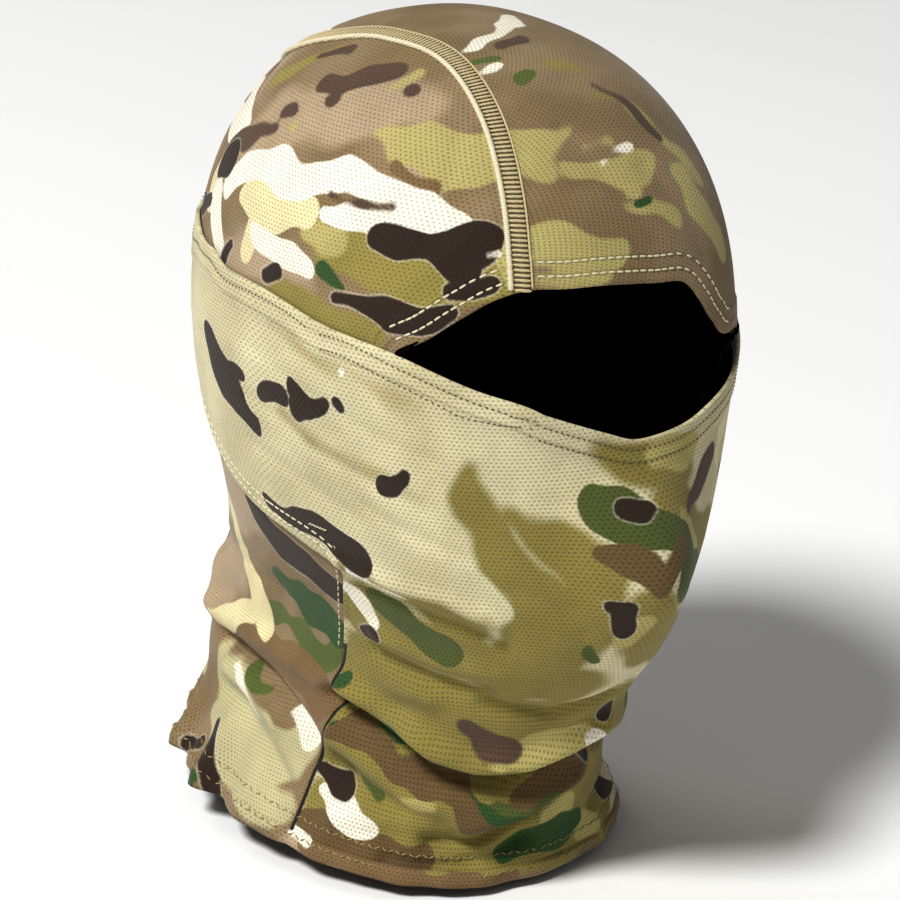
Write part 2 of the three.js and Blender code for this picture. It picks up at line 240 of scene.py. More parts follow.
# ---- folds and the height of the cloth over the form ---------------------------------------
# Each fold is (depth, half width, stroke): a valley where the depth is negative.
NECK_FOLDS = [
    (-7.0, 3.1, [(-74, -128), (-60, -133), (-50, -137), (-40, -142), (-30, -143), (-18, -142),
                 (-5, -137), (6, -131)]),
    (5.2, 4.8, [(-72, -121), (-55, -125.5), (-42, -132), (-28, -134), (-12, -132), (0, -127),
                (8, -122)]),
    (3.2, 4.4, [(-22, -159), (-8, -153), (4, -145), (14, -140)]),
    (3.4, 5.5, [(-70, -141), (-58, -145), (-45, -151), (-28, -152), (-8, -149), (4, -143)]),
    (-3.2, 3.8, [(-34, -112), (-25, -113.5), (-12, -115), (0, -111), (12, -104)]),
    (-4.6, 3.0, [(-34, -166), (-20, -165), (-8, -159), (4, -151), (16, -146)]),
    (-3.0, 3.2, [(-44, -174), (-30, -174), (-14, -171), (-4, -166)]),
    (2.4, 4.5, [(-62, -166), (-44, -160), (-24, -157), (-8, -152)]),
    (-2.4, 3.6, [(-68, -150), (-56, -153), (-44, -157), (-32, -159)]),
    (-2.4, 4.0, [(-66, -103), (-50, -106), (-36, -106)]),
    (1.8, 5.0, [(-66, -95), (-50, -98), (-34, -98)]),
    (-5.0, 3.4, [(78, -124), (62, -128), (45, -136), (28, -140), (14, -138)]),
    (3.2, 6.0, [(78, -115), (66, -118), (48, -126), (30, -130), (14, -126)]),
    (-2.8, 4.0, [(70, -160), (44, -162), (24, -164)]),
    (-1.8, 3.5, [(30, -108), (46, -112), (64, -104)]),
    (-5.2, 3.0, [(-116, -134), (-104, -132), (-92, -134), (-82, -141), (-76, -146)]),
    (3.0, 5.5, [(-122, -124), (-106, -122), (-92, -122), (-78, -124)]),
    (2.6, 4.0, [(-108, -142), (-96, -142), (-86, -148)]),
    (-3.0, 3.6, [(-110, -150), (-98, -150), (-88, -156), (-78, -164)]),
    (3.0, 9.0, [(-130, -112), (-126, -122)]),
    (-1.8, 4.0, [(-140, -100), (-128, -96), (-108, -92), (-92, -96)]),
    (-4.0, 5.0, [(120, -137), (104, -132), (90, -128), (78, -124)]),
    (3.0, 5.5, [(122, -126), (104, -121), (90, -118), (78, -115)]),
    (-3.6, 5.0, [(-170, -122), (172, -126), (144, -124)]),
    (2.8, 6.0, [(-164, -110), (176, -114), (144, -112)]),
    (-3.0, 4.5, [(-150, -150), (-176, -154), (156, -150)]),
]
FACE_FOLDS = [
    (2.2, 4.0, [(-74, -65), (-60, -67), (-46, -70), (-36, -75)]),
    (-1.9, 3.4, [(-70, -73), (-58, -76), (-44, -80), (-34, -85)]),
    (-0.9, 3.2, [(-64, -40), (-52, -47), (-40, -52)]),
    (-0.8, 3.0, [(-30, -62), (-20, -68), (-14, -77)]),
    (-0.9, 3.4, [(30, -20), (36, -36), (34, -54)]),
    (-0.8, 3.0, [(46, -14), (50, -34), (44, -58)]),
    (-0.6, 2.2, [(-92, 4), (-76, -4), (-60, -12), (-46, -18)]),
    (-0.7, 2.4, [(-92, -14), (-76, -22), (-60, -31), (-50, -36)]),
    (-0.7, 3.0, [(-92, -32), (-80, -37), (-66, -45)]),
    (-0.7, 3.0, [(96, -10), (84, -26), (70, -40)]),
]
CROWN_FOLDS = [
    (-0.6, 3.0, [(-66, 78), (-74, 58), (-80, 38)]),
    (-0.6, 3.0, [(-42, 84), (-46, 66), (-52, 46)]),
    (0.6, 4.0, [(-34, 60), (-44, 50), (-54, 38)]),
    (-0.6, 3.0, [(-8, 84), (0, 66), (6, 50)]),
    (-0.7, 3.5, [(10, 70), (18, 56), (22, 40)]),
    (-0.5, 2.6, [(-100, 84), (-84, 80), (-66, 82)]),
]


def fold_relief(points, folds):
    """Sum of depth x exp(-(distance/width)^2) over the folds."""
    relief = np.zeros(len(points))
    for depth, width, stroke in folds:
        gap = distance(points, [[(a, l, 0) for a, l in stroke]])
        relief += 1.25 * depth * np.exp(-((gap / width) ** 2))
    return relief


def drape(angle, level):
    """Soft waves that run round the neck, crossed by slow ones: products of warped sines."""
    a = np.radians(angle)
    warp = level / 13 + 0.9 * np.sin(1.5 * a + 0.6) + 0.5 * np.sin(3.1 * a - level / 31)
    wave = np.sin(warp) * (0.55 + 0.45 * np.sin(2.3 * a + level / 23 + 1.2))
    slow = np.sin(2.7 * a + level / 19) * np.sin(level / 37 - 1.9 * a)
    return 1.2 * wave + 1.1 * slow


def neck_share(level):
    return smooth_step((-level - 88) / 26)


def frill(angle, level):
    """The loose hem's flutes: sines round the hem that grow towards its edge."""
    grow = smooth_step((-level - 146) / 32)
    behind = smooth_step((np.abs(angle) - 60) / 40)
    flute = np.sin(np.radians(angle) * 17 + 0.8) + 0.6 * np.sin(np.radians(angle) * 29 + 2)
    return grow * (0.5 + 2.0 * behind) * flute


def neck_relief(base, angle, level):
    """Folds, drape and frill of the loose neck, the same for the two cloths that meet there."""
    return (fold_relief(base, NECK_FOLDS) + neck_share(level) * drape(angle, level)
            + frill(angle, level))


def least(level):
    """How far a valley may sink: not into the face, but well in at the loose neck."""
    return 0.3 - 7.5 * smooth_step((-level - 92) / 22)


def flat(points):
    return points.reshape(-1, points.shape[-1])


def hood_height(chart):
    """Outer face of the hood's cloth over the form."""
    shape = chart.shape[:-1]
    chart = flat(chart)
    base = head_form(chart)
    angle, level = place_of(chart)
    height = CLOTH_LIFT + fold_relief(base, CROWN_FOLDS) + neck_relief(base, angle, level)
    seam = line_distance(base, CENTRE_SEAM)
    height = height + 0.35 * (np.exp(-((seam / 7.0) ** 2)) - np.exp(-((seam - 5.4) / 1.2) ** 2))
    for line in (BROW_RIGHT, BROW_LEFT):
        edge = line_distance(base, line)
        height = height + 0.5 * (1 - smooth_step((edge - BROW_HEM) / 1.8))
    for line in (SIDE_SEAM, mirrored(SIDE_SEAM)):
        height = height - 1.2 * np.exp(-((line_distance(base, line) / 1.6) ** 2))
    pressed = (smooth_step((top_line(angle) - level) / 3)
               * smooth_step((level - low_line(angle)) / 3))
    height = height * (1 - pressed) + 0.5 * pressed
    return np.maximum(height, least(level)).reshape(shape)


def low_line(angle):
    low = place_of(run_of(WHOLE_LOW[1:-1], pitch=2.0))
    return np.interp(angle, low[0], low[1])


def top_line(angle):
    top = place_of(run_of(WHOLE_TOP[1:-1], pitch=2.0))
    return np.interp(angle, top[0], top[1])


def front_height(chart):
    """Outer face of the front panel: over the hood at the sides, on the face in front, and
    easing down to the neck below the jaw."""
    shape = chart.shape[:-1]
    chart = flat(chart)
    base = head_form(chart)
    angle, level = place_of(chart)
    below = low_line(angle) - level
    front = np.abs(angle) < SIDE + 0.5
    over = np.where(front, 1 - smooth_step(below / 22), 1)
    height = CLOTH_LIFT + COVER_OVER * over
    height = height + fold_relief(base, FACE_FOLDS) + neck_relief(base, angle, level)
    top = line_distance(base, WHOLE_TOP)
    height = height + 0.5 * (1 - smooth_step((top - COVER_HEM) / 1.6))
    side = np.minimum(line_distance(base, SIDE_SEAM), line_distance(base, mirrored(SIDE_SEAM)))
    height = height - 1.2 * np.exp(-((side / 1.6) ** 2)) * (below > 0)
    return np.maximum(height, least(level)).reshape(shape)


# ---- meshes --------------------------------------------------------------------------------
def mesh_piece(name, points, faces, material, inner=None):
    """A mesh from points in millimetres and an array or list of faces."""
    mesh = bpy.data.meshes.new(name)
    mesh.from_pydata((points * MM).tolist(), [], faces if isinstance(faces, list) else faces.tolist())
    mesh.materials.append(material)
    if inner:
        mesh.materials.append(inner)
    piece = bpy.data.objects.new(name, mesh)
    bpy.context.scene.collection.objects.link(piece)
    mesh.polygons.foreach_set("use_smooth", np.ones(len(mesh.polygons), bool))
    mesh.update()
    return piece


def grid_faces(columns, rows, start=0):
    """Faces of a grid of (columns + 1) x (rows + 1) points numbered column by column."""
    i, j = np.meshgrid(np.arange(columns), np.arange(rows), indexing="ij")
    a = (start + i * (rows + 1) + j).ravel()
    b = a + rows + 1
    return np.stack([a, a + 1, b + 1, b], -1)


def set_uv(piece, uv):
    """A UV map that holds cloth millimetres, one pair for each point of the mesh."""
    mesh = piece.data
    corner = np.zeros(len(mesh.loops), int)
    mesh.loops.foreach_get("vertex_index", corner)
    layer = mesh.uv_layers.new(name="cloth")
    layer.data.foreach_set("uv", np.asarray(uv, float)[corner].ravel())


def set_value(piece, name, values):
    attribute = piece.data.attributes.new(name, "FLOAT", "POINT")
    attribute.data.foreach_set("value", np.asarray(values, np.float32))


def between(left, right, first, last):
    """Coons patch: the two side runs joined straight across, plus the two end runs, less the
    straight blend of the four corners."""
    n, m = len(left), len(first)
    t = np.linspace(0, 1, n)[:, None, None]
    s = np.linspace(0, 1, m)[None, :, None]
    sides = (1 - s) * left[:, None] + s * right[:, None]
    ends = (1 - t) * first[None] + t * last[None]
    corners = ((1 - t) * ((1 - s) * left[0] + s * right[0])
               + t * ((1 - s) * left[-1] + s * right[-1]))
    return sides + ends - corners


# A turned hem's path from its outer face round the fold: (distance in from the edge, depth).
TURN = [(0.0, 0.0), (-0.25, -0.25), (-0.35, -0.8), (-0.2, -1.3), (0.3, -1.55), (3.0, -1.6),
        (6.0, -1.6), (9.0, -1.6)]


def turned_rows(edge, inward, height):
    """Points round a folded edge, row by row: beside the edge by each distance, at each depth.
    `inward` is +1 where the cloth lies to the left of the run."""
    return np.stack([raised(beside(edge, inward * into), height + depth) for into, depth in TURN])


# ---- the print: strokes (degrees from the nose, level, half width) -------------------------
HOOD_PRINT = {
    "tan": [[(-106, 64, 9), (-98, 74, 12), (-86, 82, 12), (-72, 86, 12), (-58, 88, 9)],
        [(-104, 24, 8), (-92, 32, 8), (-80, 31, 7)], [(-56, 74, 5), (-50, 68, 4)],
        [(-134, -70, 14), (-104, -64, 13)], [(-128, -104, 12), (-112, -100, 9), (-122, -120, 9)],
        [(-140, 20, 14), (-150, 70, 12)]],
    "khaki": [[(-67, 79, 3), (-60, 78, 6), (-52, 79, 8), (-44, 77, 10), (-36, 76, 9), (-28, 77, 7),
        (-21, 77, 8), (-14, 80, 6), (-7, 83, 4)], [(-80, 46, 5), (-72, 48, 5)], [(-3, 79.5, 2.8),
        (3, 78.5, 2.8)], [(-69, 91, 1.8), (-62, 95, 2)], [(-93, 74, 1.5)], [(-12, 74, 1.3),
        (-4, 71, 2.2), (2, 69, 5.5), (8, 70, 5.5), (14, 72, 1.8)], [(4, 65, 4.5)], [(2, 60, 4.5),
        (8, 59, 4), (15, 54, 2)], [(17, 86, 1.2), (22, 80, 3), (28, 70, 4), (34, 60, 3)],
        [(22, 64, 5), (28, 52, 6), (33, 40, 5)], [(-27, 50, 8), (-16, 50, 9), (-8, 47, 6),
        (-2, 49, 2.5)], [(-27, 43, 5), (-14, 42, 4), (-6, 42, 2)]],
    "olive": [[(-80, 46, 5), (-70, 47, 8), (-62, 44, 10), (-54, 41, 9), (-46, 39, 9), (-38, 42, 7),
        (-32, 41, 6)], [(-92, 20, 5), (-80, 24, 6), (-70, 24, 6), (-60, 20, 6)], [(9, 90, 2),
        (15, 88.5, 2.2)], [(-4, 97.5, 2.6), (5, 97, 3), (14, 95, 1.5)], [(-20, 53, 3.5),
        (-13, 53, 3.5)], [(-120, 82, 4), (-112, 89, 4), (-104, 94, 3.5)], [(-64, 38, 2.5),
        (-56, 44, 2.5)], [(-92, -160, 1.8), (-82, -166, 2.2)], [(-110, -152, 2), (-98, -158, 2)]],
    "wedge": [[(62, 30, 3), (70, 38, 6), (76, 48, 4)], [(-114, -140, 6), (-102, -147, 9),
        (-92, -155, 10), (-84, -160, 10), (-78, -150, 8)], [(-106, -162, 7), (-92, -170, 9),
        (-78, -172, 8)]],
    "sand": [[(-113, 56, 5), (-118, 48, 5), (-116, 40, 4)], [(-99, 51, 6), (-90, 50, 7.5),
        (-82, 51, 6)], [(-93, 40, 3), (-94, 33, 2.5)], [(-122, -72, 4), (-114, -86, 5),
        (-106, -97, 5.5), (-99, -108, 6), (-94, -115, 4)], [(-100, -114, 5), (-110, -121, 5),
        (-117, -128, 3.5)]],
    "green": [[(-14, 95, 1.8), (-9, 96, 2.2)], [(-38, 98.6, 1.5), (-20, 99.3, 1.8)],
        [(-94, -107, 3.5), (-86, -110, 6), (-78, -114, 7)], [(-99, -136, 1.6), (-91, -139, 2.2)]],
    "deep_green": [[(4, 61, 3.4), (8, 61.5, 2.4)], [(-74, 38, 2.4), (-69, 33.5, 3)],
        [(-90, -92, 6), (-85, -95, 9), (-79, -99, 9)], [(-104, -180, 3), (-98, -176, 2.5)]],
    "brown": [[(-112, -127, 5), (-100, -122, 6), (-88, -125, 9), (-78, -126, 10)], [(-50, 67, 2.5),
        (-60, 72, 2.5)]],
    "cream": [[(-108, 50, 4.5), (-103, 59, 6), (-94, 61, 6.5), (-84, 62, 7), (-74, 66, 6),
        (-66, 66, 4.8), (-57, 65, 4.5), (-51, 62, 6), (-45, 58, 6.5), (-42, 57, 6)],
        [(-77, 53, 3.2), (-72, 56, 4.8), (-64, 56, 4.6), (-55, 56, 5), (-46, 57, 5.5)],
        [(-92, 41, 3.5), (-85, 38, 5), (-78, 36, 4)], [(-113, 44, 4), (-110, 37, 6),
        (-105, 31, 4)], [(-46, 100.5, 1.6), (-26, 102.2, 3), (20, 103.3, 3), (80, 103, 3)],
        [(-36, 96.5, 1.6), (-26, 97.5, 2.4), (-22, 98, 2)], [(-1, 73, 1.5), (3, 76, 1.8),
        (10, 75.5, 1)], [(-84, -142, 2.5), (-79, -143, 4), (-76, -148, 3.5)], [(-104, -140, 2),
        (-96, -144, 2.4), (-90, -150, 2)]],
    "faded": [[(-92, 88, 3.8), (-86, 89, 4.4), (-80, 92, 6), (-73, 94, 5)], [(-87, 83.5, 3.6)],
        [(-99, 77, 2.4), (-96, 79, 2.8)], [(-60, 91.5, 2.6)], [(-108, 92, 2.4), (-98, 95, 3.4)],
        [(-116, 60, 4), (-110, 64, 4.8), (-104, 70, 2.8), (-99, 73, 2.4)], [(-77, 59.5, 1.9),
        (-68, 60.5, 2), (-60, 61, 2.2)], [(-10, 101.3, 2.5), (6, 101.5, 3.4)], [(14, 92, 2),
        (24, 76, 2.5)]],
    "dark": [[(-61, 52, 5), (-55, 50, 5.5), (-48, 50, 5), (-42, 49, 8.5), (-37, 52, 8.5),
        (-34, 54, 5)], [(-40, 46, 7)], [(-71, 31, 2.6), (-64, 29, 4), (-57, 27, 5), (-50, 28, 4.5),
        (-43, 31, 3)], [(-43, 38, 3), (-34, 40, 3)], [(-100, 33, 2.5), (-103, 28, 3)],
        [(-89, 30, 3.4), (-86, 31, 2.6)], [(-101, -59, 3), (-96, -66, 6), (-90, -73, 8),
        (-84, -77, 8.5), (-78, -81, 7), (-74, -84, 4)], [(-119, -177, 4), (-111, -172, 3)],
        [(-105, -163, 3), (-101, -172, 4.5), (-96, -180, 3.5)]],
    "spot": [[(-34, 49, 2.2), (-31.5, 50, 2.4)]],
}
# On the neck, the broad olive bands and the brown and deep green strokes along the fold creases and
# under the jaw are partly print and partly painted shade that darkens the neck where its folds and
# the jaw shade it.
FRONT_PRINT = {
    "tan": [[(30, -86, 10), (46, -92, 8)], [(-70, -180, 6), (-50, -178, 6), (-20, -180, 5)],
        [(-86, 14, 1.2), (-66, 6, 1.2), (-50, 1, 1)], [(-84, -16, 1.2), (-62, -26, 1.4),
        (-50, -32, 1.2)]],
    "khaki": [[(2, -19, 5), (9, -22, 5.5), (14, -18, 4)], [(6, -40, 4), (10, -47, 5),
        (13, -54, 3)], [(-2, -72, 3), (-4, -79, 4)], [(-22, -131, 2.6), (-14, -129, 4.4),
        (-6, -127, 5.4), (1, -124, 4)], [(3, -161, 5), (10, -157, 4.5)], [(16, -171, 6),
        (24, -172, 5)], [(-44, -152, 2.4), (-36, -152, 3)]],
    "olive": [[(-38.5, -21, 4.8), (-38, -30, 7), (-35, -41, 8.5), (-31, -51, 9.5), (-27, -61, 9.5),
        (-24, -71, 9.5)], [(-30, -37, 5), (-24, -45, 7.5), (-16, -50, 9), (-12, -60, 11),
        (-14, -72, 13), (-20, -84, 14), (-30, -92, 12)], [(-7, -17, 6), (0, -21, 8), (8, -26, 8)],
        [(4, -34, 8), (12, -44, 9), (20, -56, 10), (32, -60, 12)], [(-2, -70, 12), (6, -84, 14),
        (24, -84, 14)], [(-71, -65, 4), (-62, -70, 5), (-50, -76, 7), (-40, -80, 7)],
        [(-68, -88, 14), (-50, -92, 14), (-34, -98, 14), (-10, -100, 12)], [(-70, -129, 12),
        (-50, -132, 12), (-30, -133, 12), (-8, -132, 12), (20, -132, 12), (50, -134, 12)],
        [(-66, -112, 16), (-40, -118, 16), (-8, -120, 16), (20, -122, 16), (50, -124, 14)],
        [(-66, -142, 16), (-40, -146, 16), (-8, -146, 16), (20, -146, 16), (56, -146, 14)],
        [(-64, -166, 14), (-36, -166, 14), (-8, -166, 14), (30, -166, 14)]],
    "wedge": [[(-42, -58, 3), (-37, -66, 3.5), (-33, -71, 2.5)]],
    "green": [[(-12, -31, 5), (-9, -36, 8), (-3, -39, 8), (2, -43, 7)], [(4, -46, 7), (6, -54, 8),
        (5, -61, 7)], [(-12, -84, 3), (-9, -87, 2.5)], [(-66, -80, 6), (-58, -85, 8),
        (-50, -90, 7)], [(12, -60, 5), (22, -66, 6)], [(-58, -152, 1.8), (-53, -154, 2)],
        [(40, -126, 8), (56, -134, 8)], [(-14, -150, 5), (-4, -152, 6), (4, -148, 5)]],
    "deep_green": [[(-75, -121, 2), (-70, -118, 2.2)], [(-64, -132, 3), (-54, -133, 4.4),
        (-44, -136, 3.6)], [(-26, -150, 4), (-18, -152, 5), (-10, -156, 4)], [(-10, -171, 4),
        (0, -169, 5.5), (8, -167, 6), (14, -166, 3)], [(44, -40, 7), (54, -50, 8)],
        [(-71, -138, 3), (-64, -139, 4), (-60, -141, 2)]],
    "brown": [[(-12, -49, 3.2), (-8, -51, 4.4), (-3, -54, 5.4), (-1, -59, 5), (3, -47, 3)],
        [(-24, -152, 5), (-18, -158, 5)], [(-66, -176, 4), (-44, -178, 5), (-20, -178, 5),
        (-8, -180, 4)], [(60, -70, 8), (66, -86, 9)], [(-72, -142, 3.6), (-66, -138, 5.4),
        (-58, -139, 5), (-50, -142, 5), (-38, -145, 5), (-30, -147, 3.4)], [(-10, -146, 4),
        (0, -142, 5), (12, -138, 5), (22, -140, 5)], [(-70, -171, 5), (-58, -172, 6),
        (-46, -172, 6), (-34, -171, 5)]],
    "sand": [[(-80, -61, 2.8), (-77, -63, 2.6)], [(30, -30, 4), (40, -20, 5)]],
    "cream": [[(-73.5, -78, 3.6), (-70, -83, 5), (-67, -88, 3.6)], [(-69, -67, 3), (-64, -70, 4.4),
        (-59, -72, 3)], [(6, -124, 3.2), (11, -126, 3.2)], [(-68, -161, 3), (-60, -164, 5),
        (-52, -165, 4.4)], [(-67, 6, 2)], [(-72, -177, 2), (-66, -176, 2)]],
    "faded": [[(-35, -123, 4), (-29, -125.5, 5.8), (-22, -127.5, 5)], [(25, -29, 4),
        (20, -33, 5.6), (14, -37, 4.2), (9, -41, 2.4)]],
    "dark": [[(-106, -1, 5), (-102, -8, 6.5), (-98, -15, 7.5), (-94, -20, 6), (-90, -22.5, 4.5)],
        [(-97, -9, 3.4), (-94, -8, 2.6)], [(-88.5, -10.5, 3.8), (-84, -9.5, 3.8)],
        [(-80, -4.5, 3.6), (-76.5, -8, 4.8), (-73.5, -6, 3.6)], [(-79, -10.5, 4)],
        [(-69.5, -4.5, 2.4), (-68.5, -6.5, 2.5)], [(-58.5, -31, 3.4), (-56, -31, 3.5),
        (-54, -27.5, 2.8), (-53, -24.5, 2)], [(-90, -55, 3.4), (-83, -54.5, 5), (-76, -56, 7),
        (-70, -59, 7), (-67, -62, 4.5)], [(-5.5, -34.5, 2.4), (-2.5, -35.5, 3.4), (-0.5, -34, 2)],
        [(-9.5, -66.5, 3.4), (-6.5, -66, 3.2), (-7, -71, 4.2), (-6, -74.5, 3.8)], [(-70, -94, 2.2),
        (-67, -93, 3.2)], [(9, -117, 3.4)], [(6, -133, 3), (14, -137, 3.4)], [(-70, -154, 3),
        (-65, -157, 4.6), (-62, -158, 3)], [(52, -26, 4), (60, -34, 5)], [(36, -166, 4),
        (44, -170, 3)]],
}


def shifted(strokes, turn, drop, squeeze=1.0):
    """The same strokes carried round to the sides that they don't cover."""
    moved = [[(angle + turn, level * squeeze + drop, size) for angle, level, size in stroke]
             for stroke in strokes]
    return [stroke for stroke in moved
            if all(62 < (angle - size) % 360 < 242 and 62 < (angle + size) % 360
                   and level < 97 for angle, level, size in stroke)]


def row_gap(edge_gap, rows):
    """Distance to the nearer of two needle rows, from the distance to the edge."""
    return np.minimum(np.abs(edge_gap - rows[0]), np.abs(edge_gap - rows[1]))


# Inks from the first printed to the last.
LAYERS = ("tan", "olive", "khaki", "wedge", "green", "deep_green", "brown", "sand", "cream",
          "faded", "dark", "spot")


def wandering(points):
    """The points moved by slow sines of their own place, so that strokes run unevenly."""
    x, y, z = points.T / 10
    shift = np.stack([np.sin(2.3 * y + 1.5 * z) + 0.4 * np.sin(3.9 * z - 2.9 * x + 1),
                      np.sin(2.1 * z - 1.7 * x + 2) + 0.4 * np.sin(3.5 * x + 3.1 * y + 3),
                      np.sin(1.9 * x + 2.0 * y + 4) + 0.4 * np.sin(3.7 * y - 3.1 * z + 5)], -1)
    return points + 1.2 * shift


def put_print(piece, points, table, turns):
    """For each ink, how far each point lies outside its strokes, in millimetres."""
    points = wandering(points)
    for ink in LAYERS:
        strokes = list(table.get(ink, []))
        for turn, drop, squeeze in turns:
            strokes += shifted(table.get(ink, []), turn, drop, squeeze)
        gap = distance(points, strokes) if strokes else np.full(len(points), 50.0)
        set_value(piece, "ink_" + ink, np.clip(gap, -30, 30))


# ---- node groups ---------------------------------------------------------------------------
def colour(code):
    """Linear colour from a six-digit display code."""
    parts = [int(code[k:k + 2], 16) / 255 for k in (0, 2, 4)]
    return tuple(p / 12.92 if p <= 0.04045 else ((p + 0.055) / 1.055) ** 2.4
                 for p in parts) + (1.0,)


class Bench:
    """A node tree with short ways to add and join nodes."""

    def __init__(self, tree):
        self.tree = tree

    def node(self, kind, **settings):
        made = self.tree.nodes.new(kind)
        for key, value in settings.items():
            setattr(made, key, value)
        return made

    def put(self, socket, value):
        if isinstance(value, bpy.types.NodeSocket):
            self.tree.links.new(value, socket)
        elif value is not None:
            socket.default_value = value

    def math(self, kind, a, b=None, c=None):
        made = self.node("ShaderNodeMath", operation=kind)
        for socket, value in zip(made.inputs, (a, b, c)):
            self.put(socket, value)
        return made.outputs[0]

    def ramp(self, value, low, high, to_low=0.0, to_high=1.0):
        made = self.node("ShaderNodeMapRange", interpolation_type="SMOOTHSTEP")
        for socket, given in zip(made.inputs, (value, low, high, to_low, to_high)):
            self.put(socket, given)
        return made.outputs[0]

    def mix(self, share, a, b, kind="MIX"):
        made = self.node("ShaderNodeMix", data_type="RGBA", blend_type=kind)
        self.put(made.inputs[0], share)
        self.put(made.inputs[6], a)
        self.put(made.inputs[7], b)
        return made.outputs[2]

    def noise(self, vector, scale, detail=2.0, rough=0.5):
        made = self.node("ShaderNodeTexNoise")
        self.put(made.inputs["Vector"], vector)
        made.inputs["Scale"].default_value = scale
        made.inputs["Detail"].default_value = detail
        made.inputs["Roughness"].default_value = rough
        return made.outputs["Fac"]


def group(name, inputs, outputs):
    """A shader node group with named sockets; returns the bench and its two ends."""
    tree = bpy.data.node_groups.new(name, "ShaderNodeTree")
    for label, kind, value in inputs:
        socket = tree.interface.new_socket(label, in_out="INPUT", socket_type="NodeSocket" + kind)
        if value is not None:
            socket.default_value = value
    for label, kind in outputs:
        tree.interface.new_socket(label, in_out="OUTPUT", socket_type="NodeSocket" + kind)
    bench = Bench(tree)
    return bench, bench.node("NodeGroupInput").outputs, bench.node("NodeGroupOutput").inputs


def eyelet_knit():
    """Rows of small pits, each row set half a pitch over, as in wicking eyelet knit."""
    bench, given, out = group(
        "eyelet_knit",
        [("Cloth", "Vector", None), ("Pitch", "Float", 1.9), ("Row", "Float", 1.9),
         ("Wide", "Float", 0.34), ("Tall", "Float", 0.22)],
        [("Pit", "Float"), ("Height", "Float")])
    parts = bench.node("ShaderNodeSeparateXYZ")
    bench.put(parts.inputs[0], given["Cloth"])
    row = bench.math("DIVIDE", parts.outputs[1], given["Row"])
    number = bench.math("FLOOR", row)
    half = bench.math("MULTIPLY", bench.math("FLOORED_MODULO", number, 2.0), 0.5)
    across = bench.math("ADD", bench.math("DIVIDE", parts.outputs[0], given["Pitch"]), half)
    x = bench.math("DIVIDE", bench.math("SUBTRACT", bench.math("FRACT", across), 0.5),
                   given["Wide"])
    y = bench.math("DIVIDE", bench.math("SUBTRACT", bench.math("FRACT", row), 0.5), given["Tall"])
    reach = bench.math("SQRT", bench.math("ADD", bench.math("MULTIPLY", x, x),
                                          bench.math("MULTIPLY", y, y)))
    pit = bench.ramp(reach, 0.45, 1.15, 1.0, 0.0)
    rib = bench.math("SINE", bench.math("MULTIPLY", parts.outputs[0], 9.0))
    course = bench.math("SINE", bench.math("MULTIPLY", parts.outputs[1], 11.0))
    yarn = bench.math("MULTIPLY", bench.math("MULTIPLY", rib, course), 0.10)
    bench.put(out["Pit"], pit)
    bench.put(out["Height"], bench.math("SUBTRACT", yarn, pit))
    return bench.tree


def camouflage():
    """Inks laid over one another. Each takes its distance outside its shapes, bends it with
    noise and turns it into an edge; the darkest ink has a pale rim."""
    inks = [(ink, "Float", 30.0) for ink in LAYERS]
    dyes = [(ink + " dye", "Color", None) for ink in ("base",) + LAYERS]
    bench, given, out = group(
        "camouflage", [("Cloth", "Vector", None), ("Wander", "Float", 1.0)] + inks + dyes,
        [("Color", "Color"), ("Dark", "Float")])
    wide = bench.math("SUBTRACT", bench.noise(given["Cloth"], 0.06, 0.0), 0.5)
    fine = bench.math("SUBTRACT", bench.noise(given["Cloth"], 2.2, 0.0), 0.5)
    bend = bench.math("MULTIPLY", bench.math("ADD", bench.math("MULTIPLY", wide, 9.0),
                                             bench.math("MULTIPLY", fine, 0.35)), given["Wander"])
    dye = bench.mix(bench.ramp(bench.noise(given["Cloth"], 0.03, 1.0), 0.40, 0.62, 0.0, 0.28),
                    given["base dye"], given["tan dye"])
    for ink in LAYERS:
        edge = {"tan": 4.0, "olive": 2.2, "khaki": 1.0, "wedge": 1.2, "faded": 0.7}.get(ink, 0.45)
        crisp = ink in ("dark", "faded", "cream", "spot")
        gap = bench.math("ADD", given[ink], bench.math("MULTIPLY", bend, 0.4 if crisp else 1.0))
        if ink == "dark":
            rim = bench.ramp(gap, 0.2, 0.9, 0.3, 0.0)
            dye = bench.mix(rim, dye, given["cream dye"])
        dye = bench.mix(bench.ramp(gap, -edge, edge, 1.0, 0.0), dye, given[ink + " dye"])
    bench.put(out["Color"], dye)
    bench.put(out["Dark"], bench.ramp(given["dark"], -0.5, 0.5, 1.0, 0.0))
    return bench.tree


def cloth_wear():
    """Uneven dye and light rubbing: broad and fine noise in cloth millimetres."""
    bench, given, out = group("cloth_wear", [("Color", "Color", None), ("Cloth", "Vector", None),
                                             ("Amount", "Float", 0.5)], [("Color", "Color")])
    broad = bench.noise(given["Cloth"], 0.05, 3.0)
    fine = bench.noise(given["Cloth"], 1.6, 2.0, 0.7)
    lift = bench.math("ADD", bench.ramp(broad, 0.3, 0.7, 0.90, 1.08),
                      bench.ramp(fine, 0.2, 0.8, -0.2, 0.2))
    tone = bench.node("ShaderNodeCombineColor")
    for socket in tone.inputs[:3]:
        bench.put(socket, lift)
    bench.put(out["Color"], bench.mix(given["Amount"], given["Color"],
                                      bench.mix(1.0, given["Color"], tone.outputs[0], "MULTIPLY")))
    return bench.tree


GROUPS = {"knit": eyelet_knit(), "camouflage": camouflage(), "wear": cloth_wear()}


def start_material(name, roughness, sheen=0.0, specular=0.25):
    material = bpy.data.materials.new(name)
    material.use_nodes = True
    bench = Bench(material.node_tree)
    shader = next(n for n in material.node_tree.nodes if n.type == "BSDF_PRINCIPLED")
    shader.inputs["Roughness"].default_value = roughness
    shader.inputs["Sheen Weight"].default_value = sheen
    shader.inputs["Sheen Roughness"].default_value = 0.5
    shader.inputs["Specular IOR Level"].default_value = specular
    return material, bench, shader


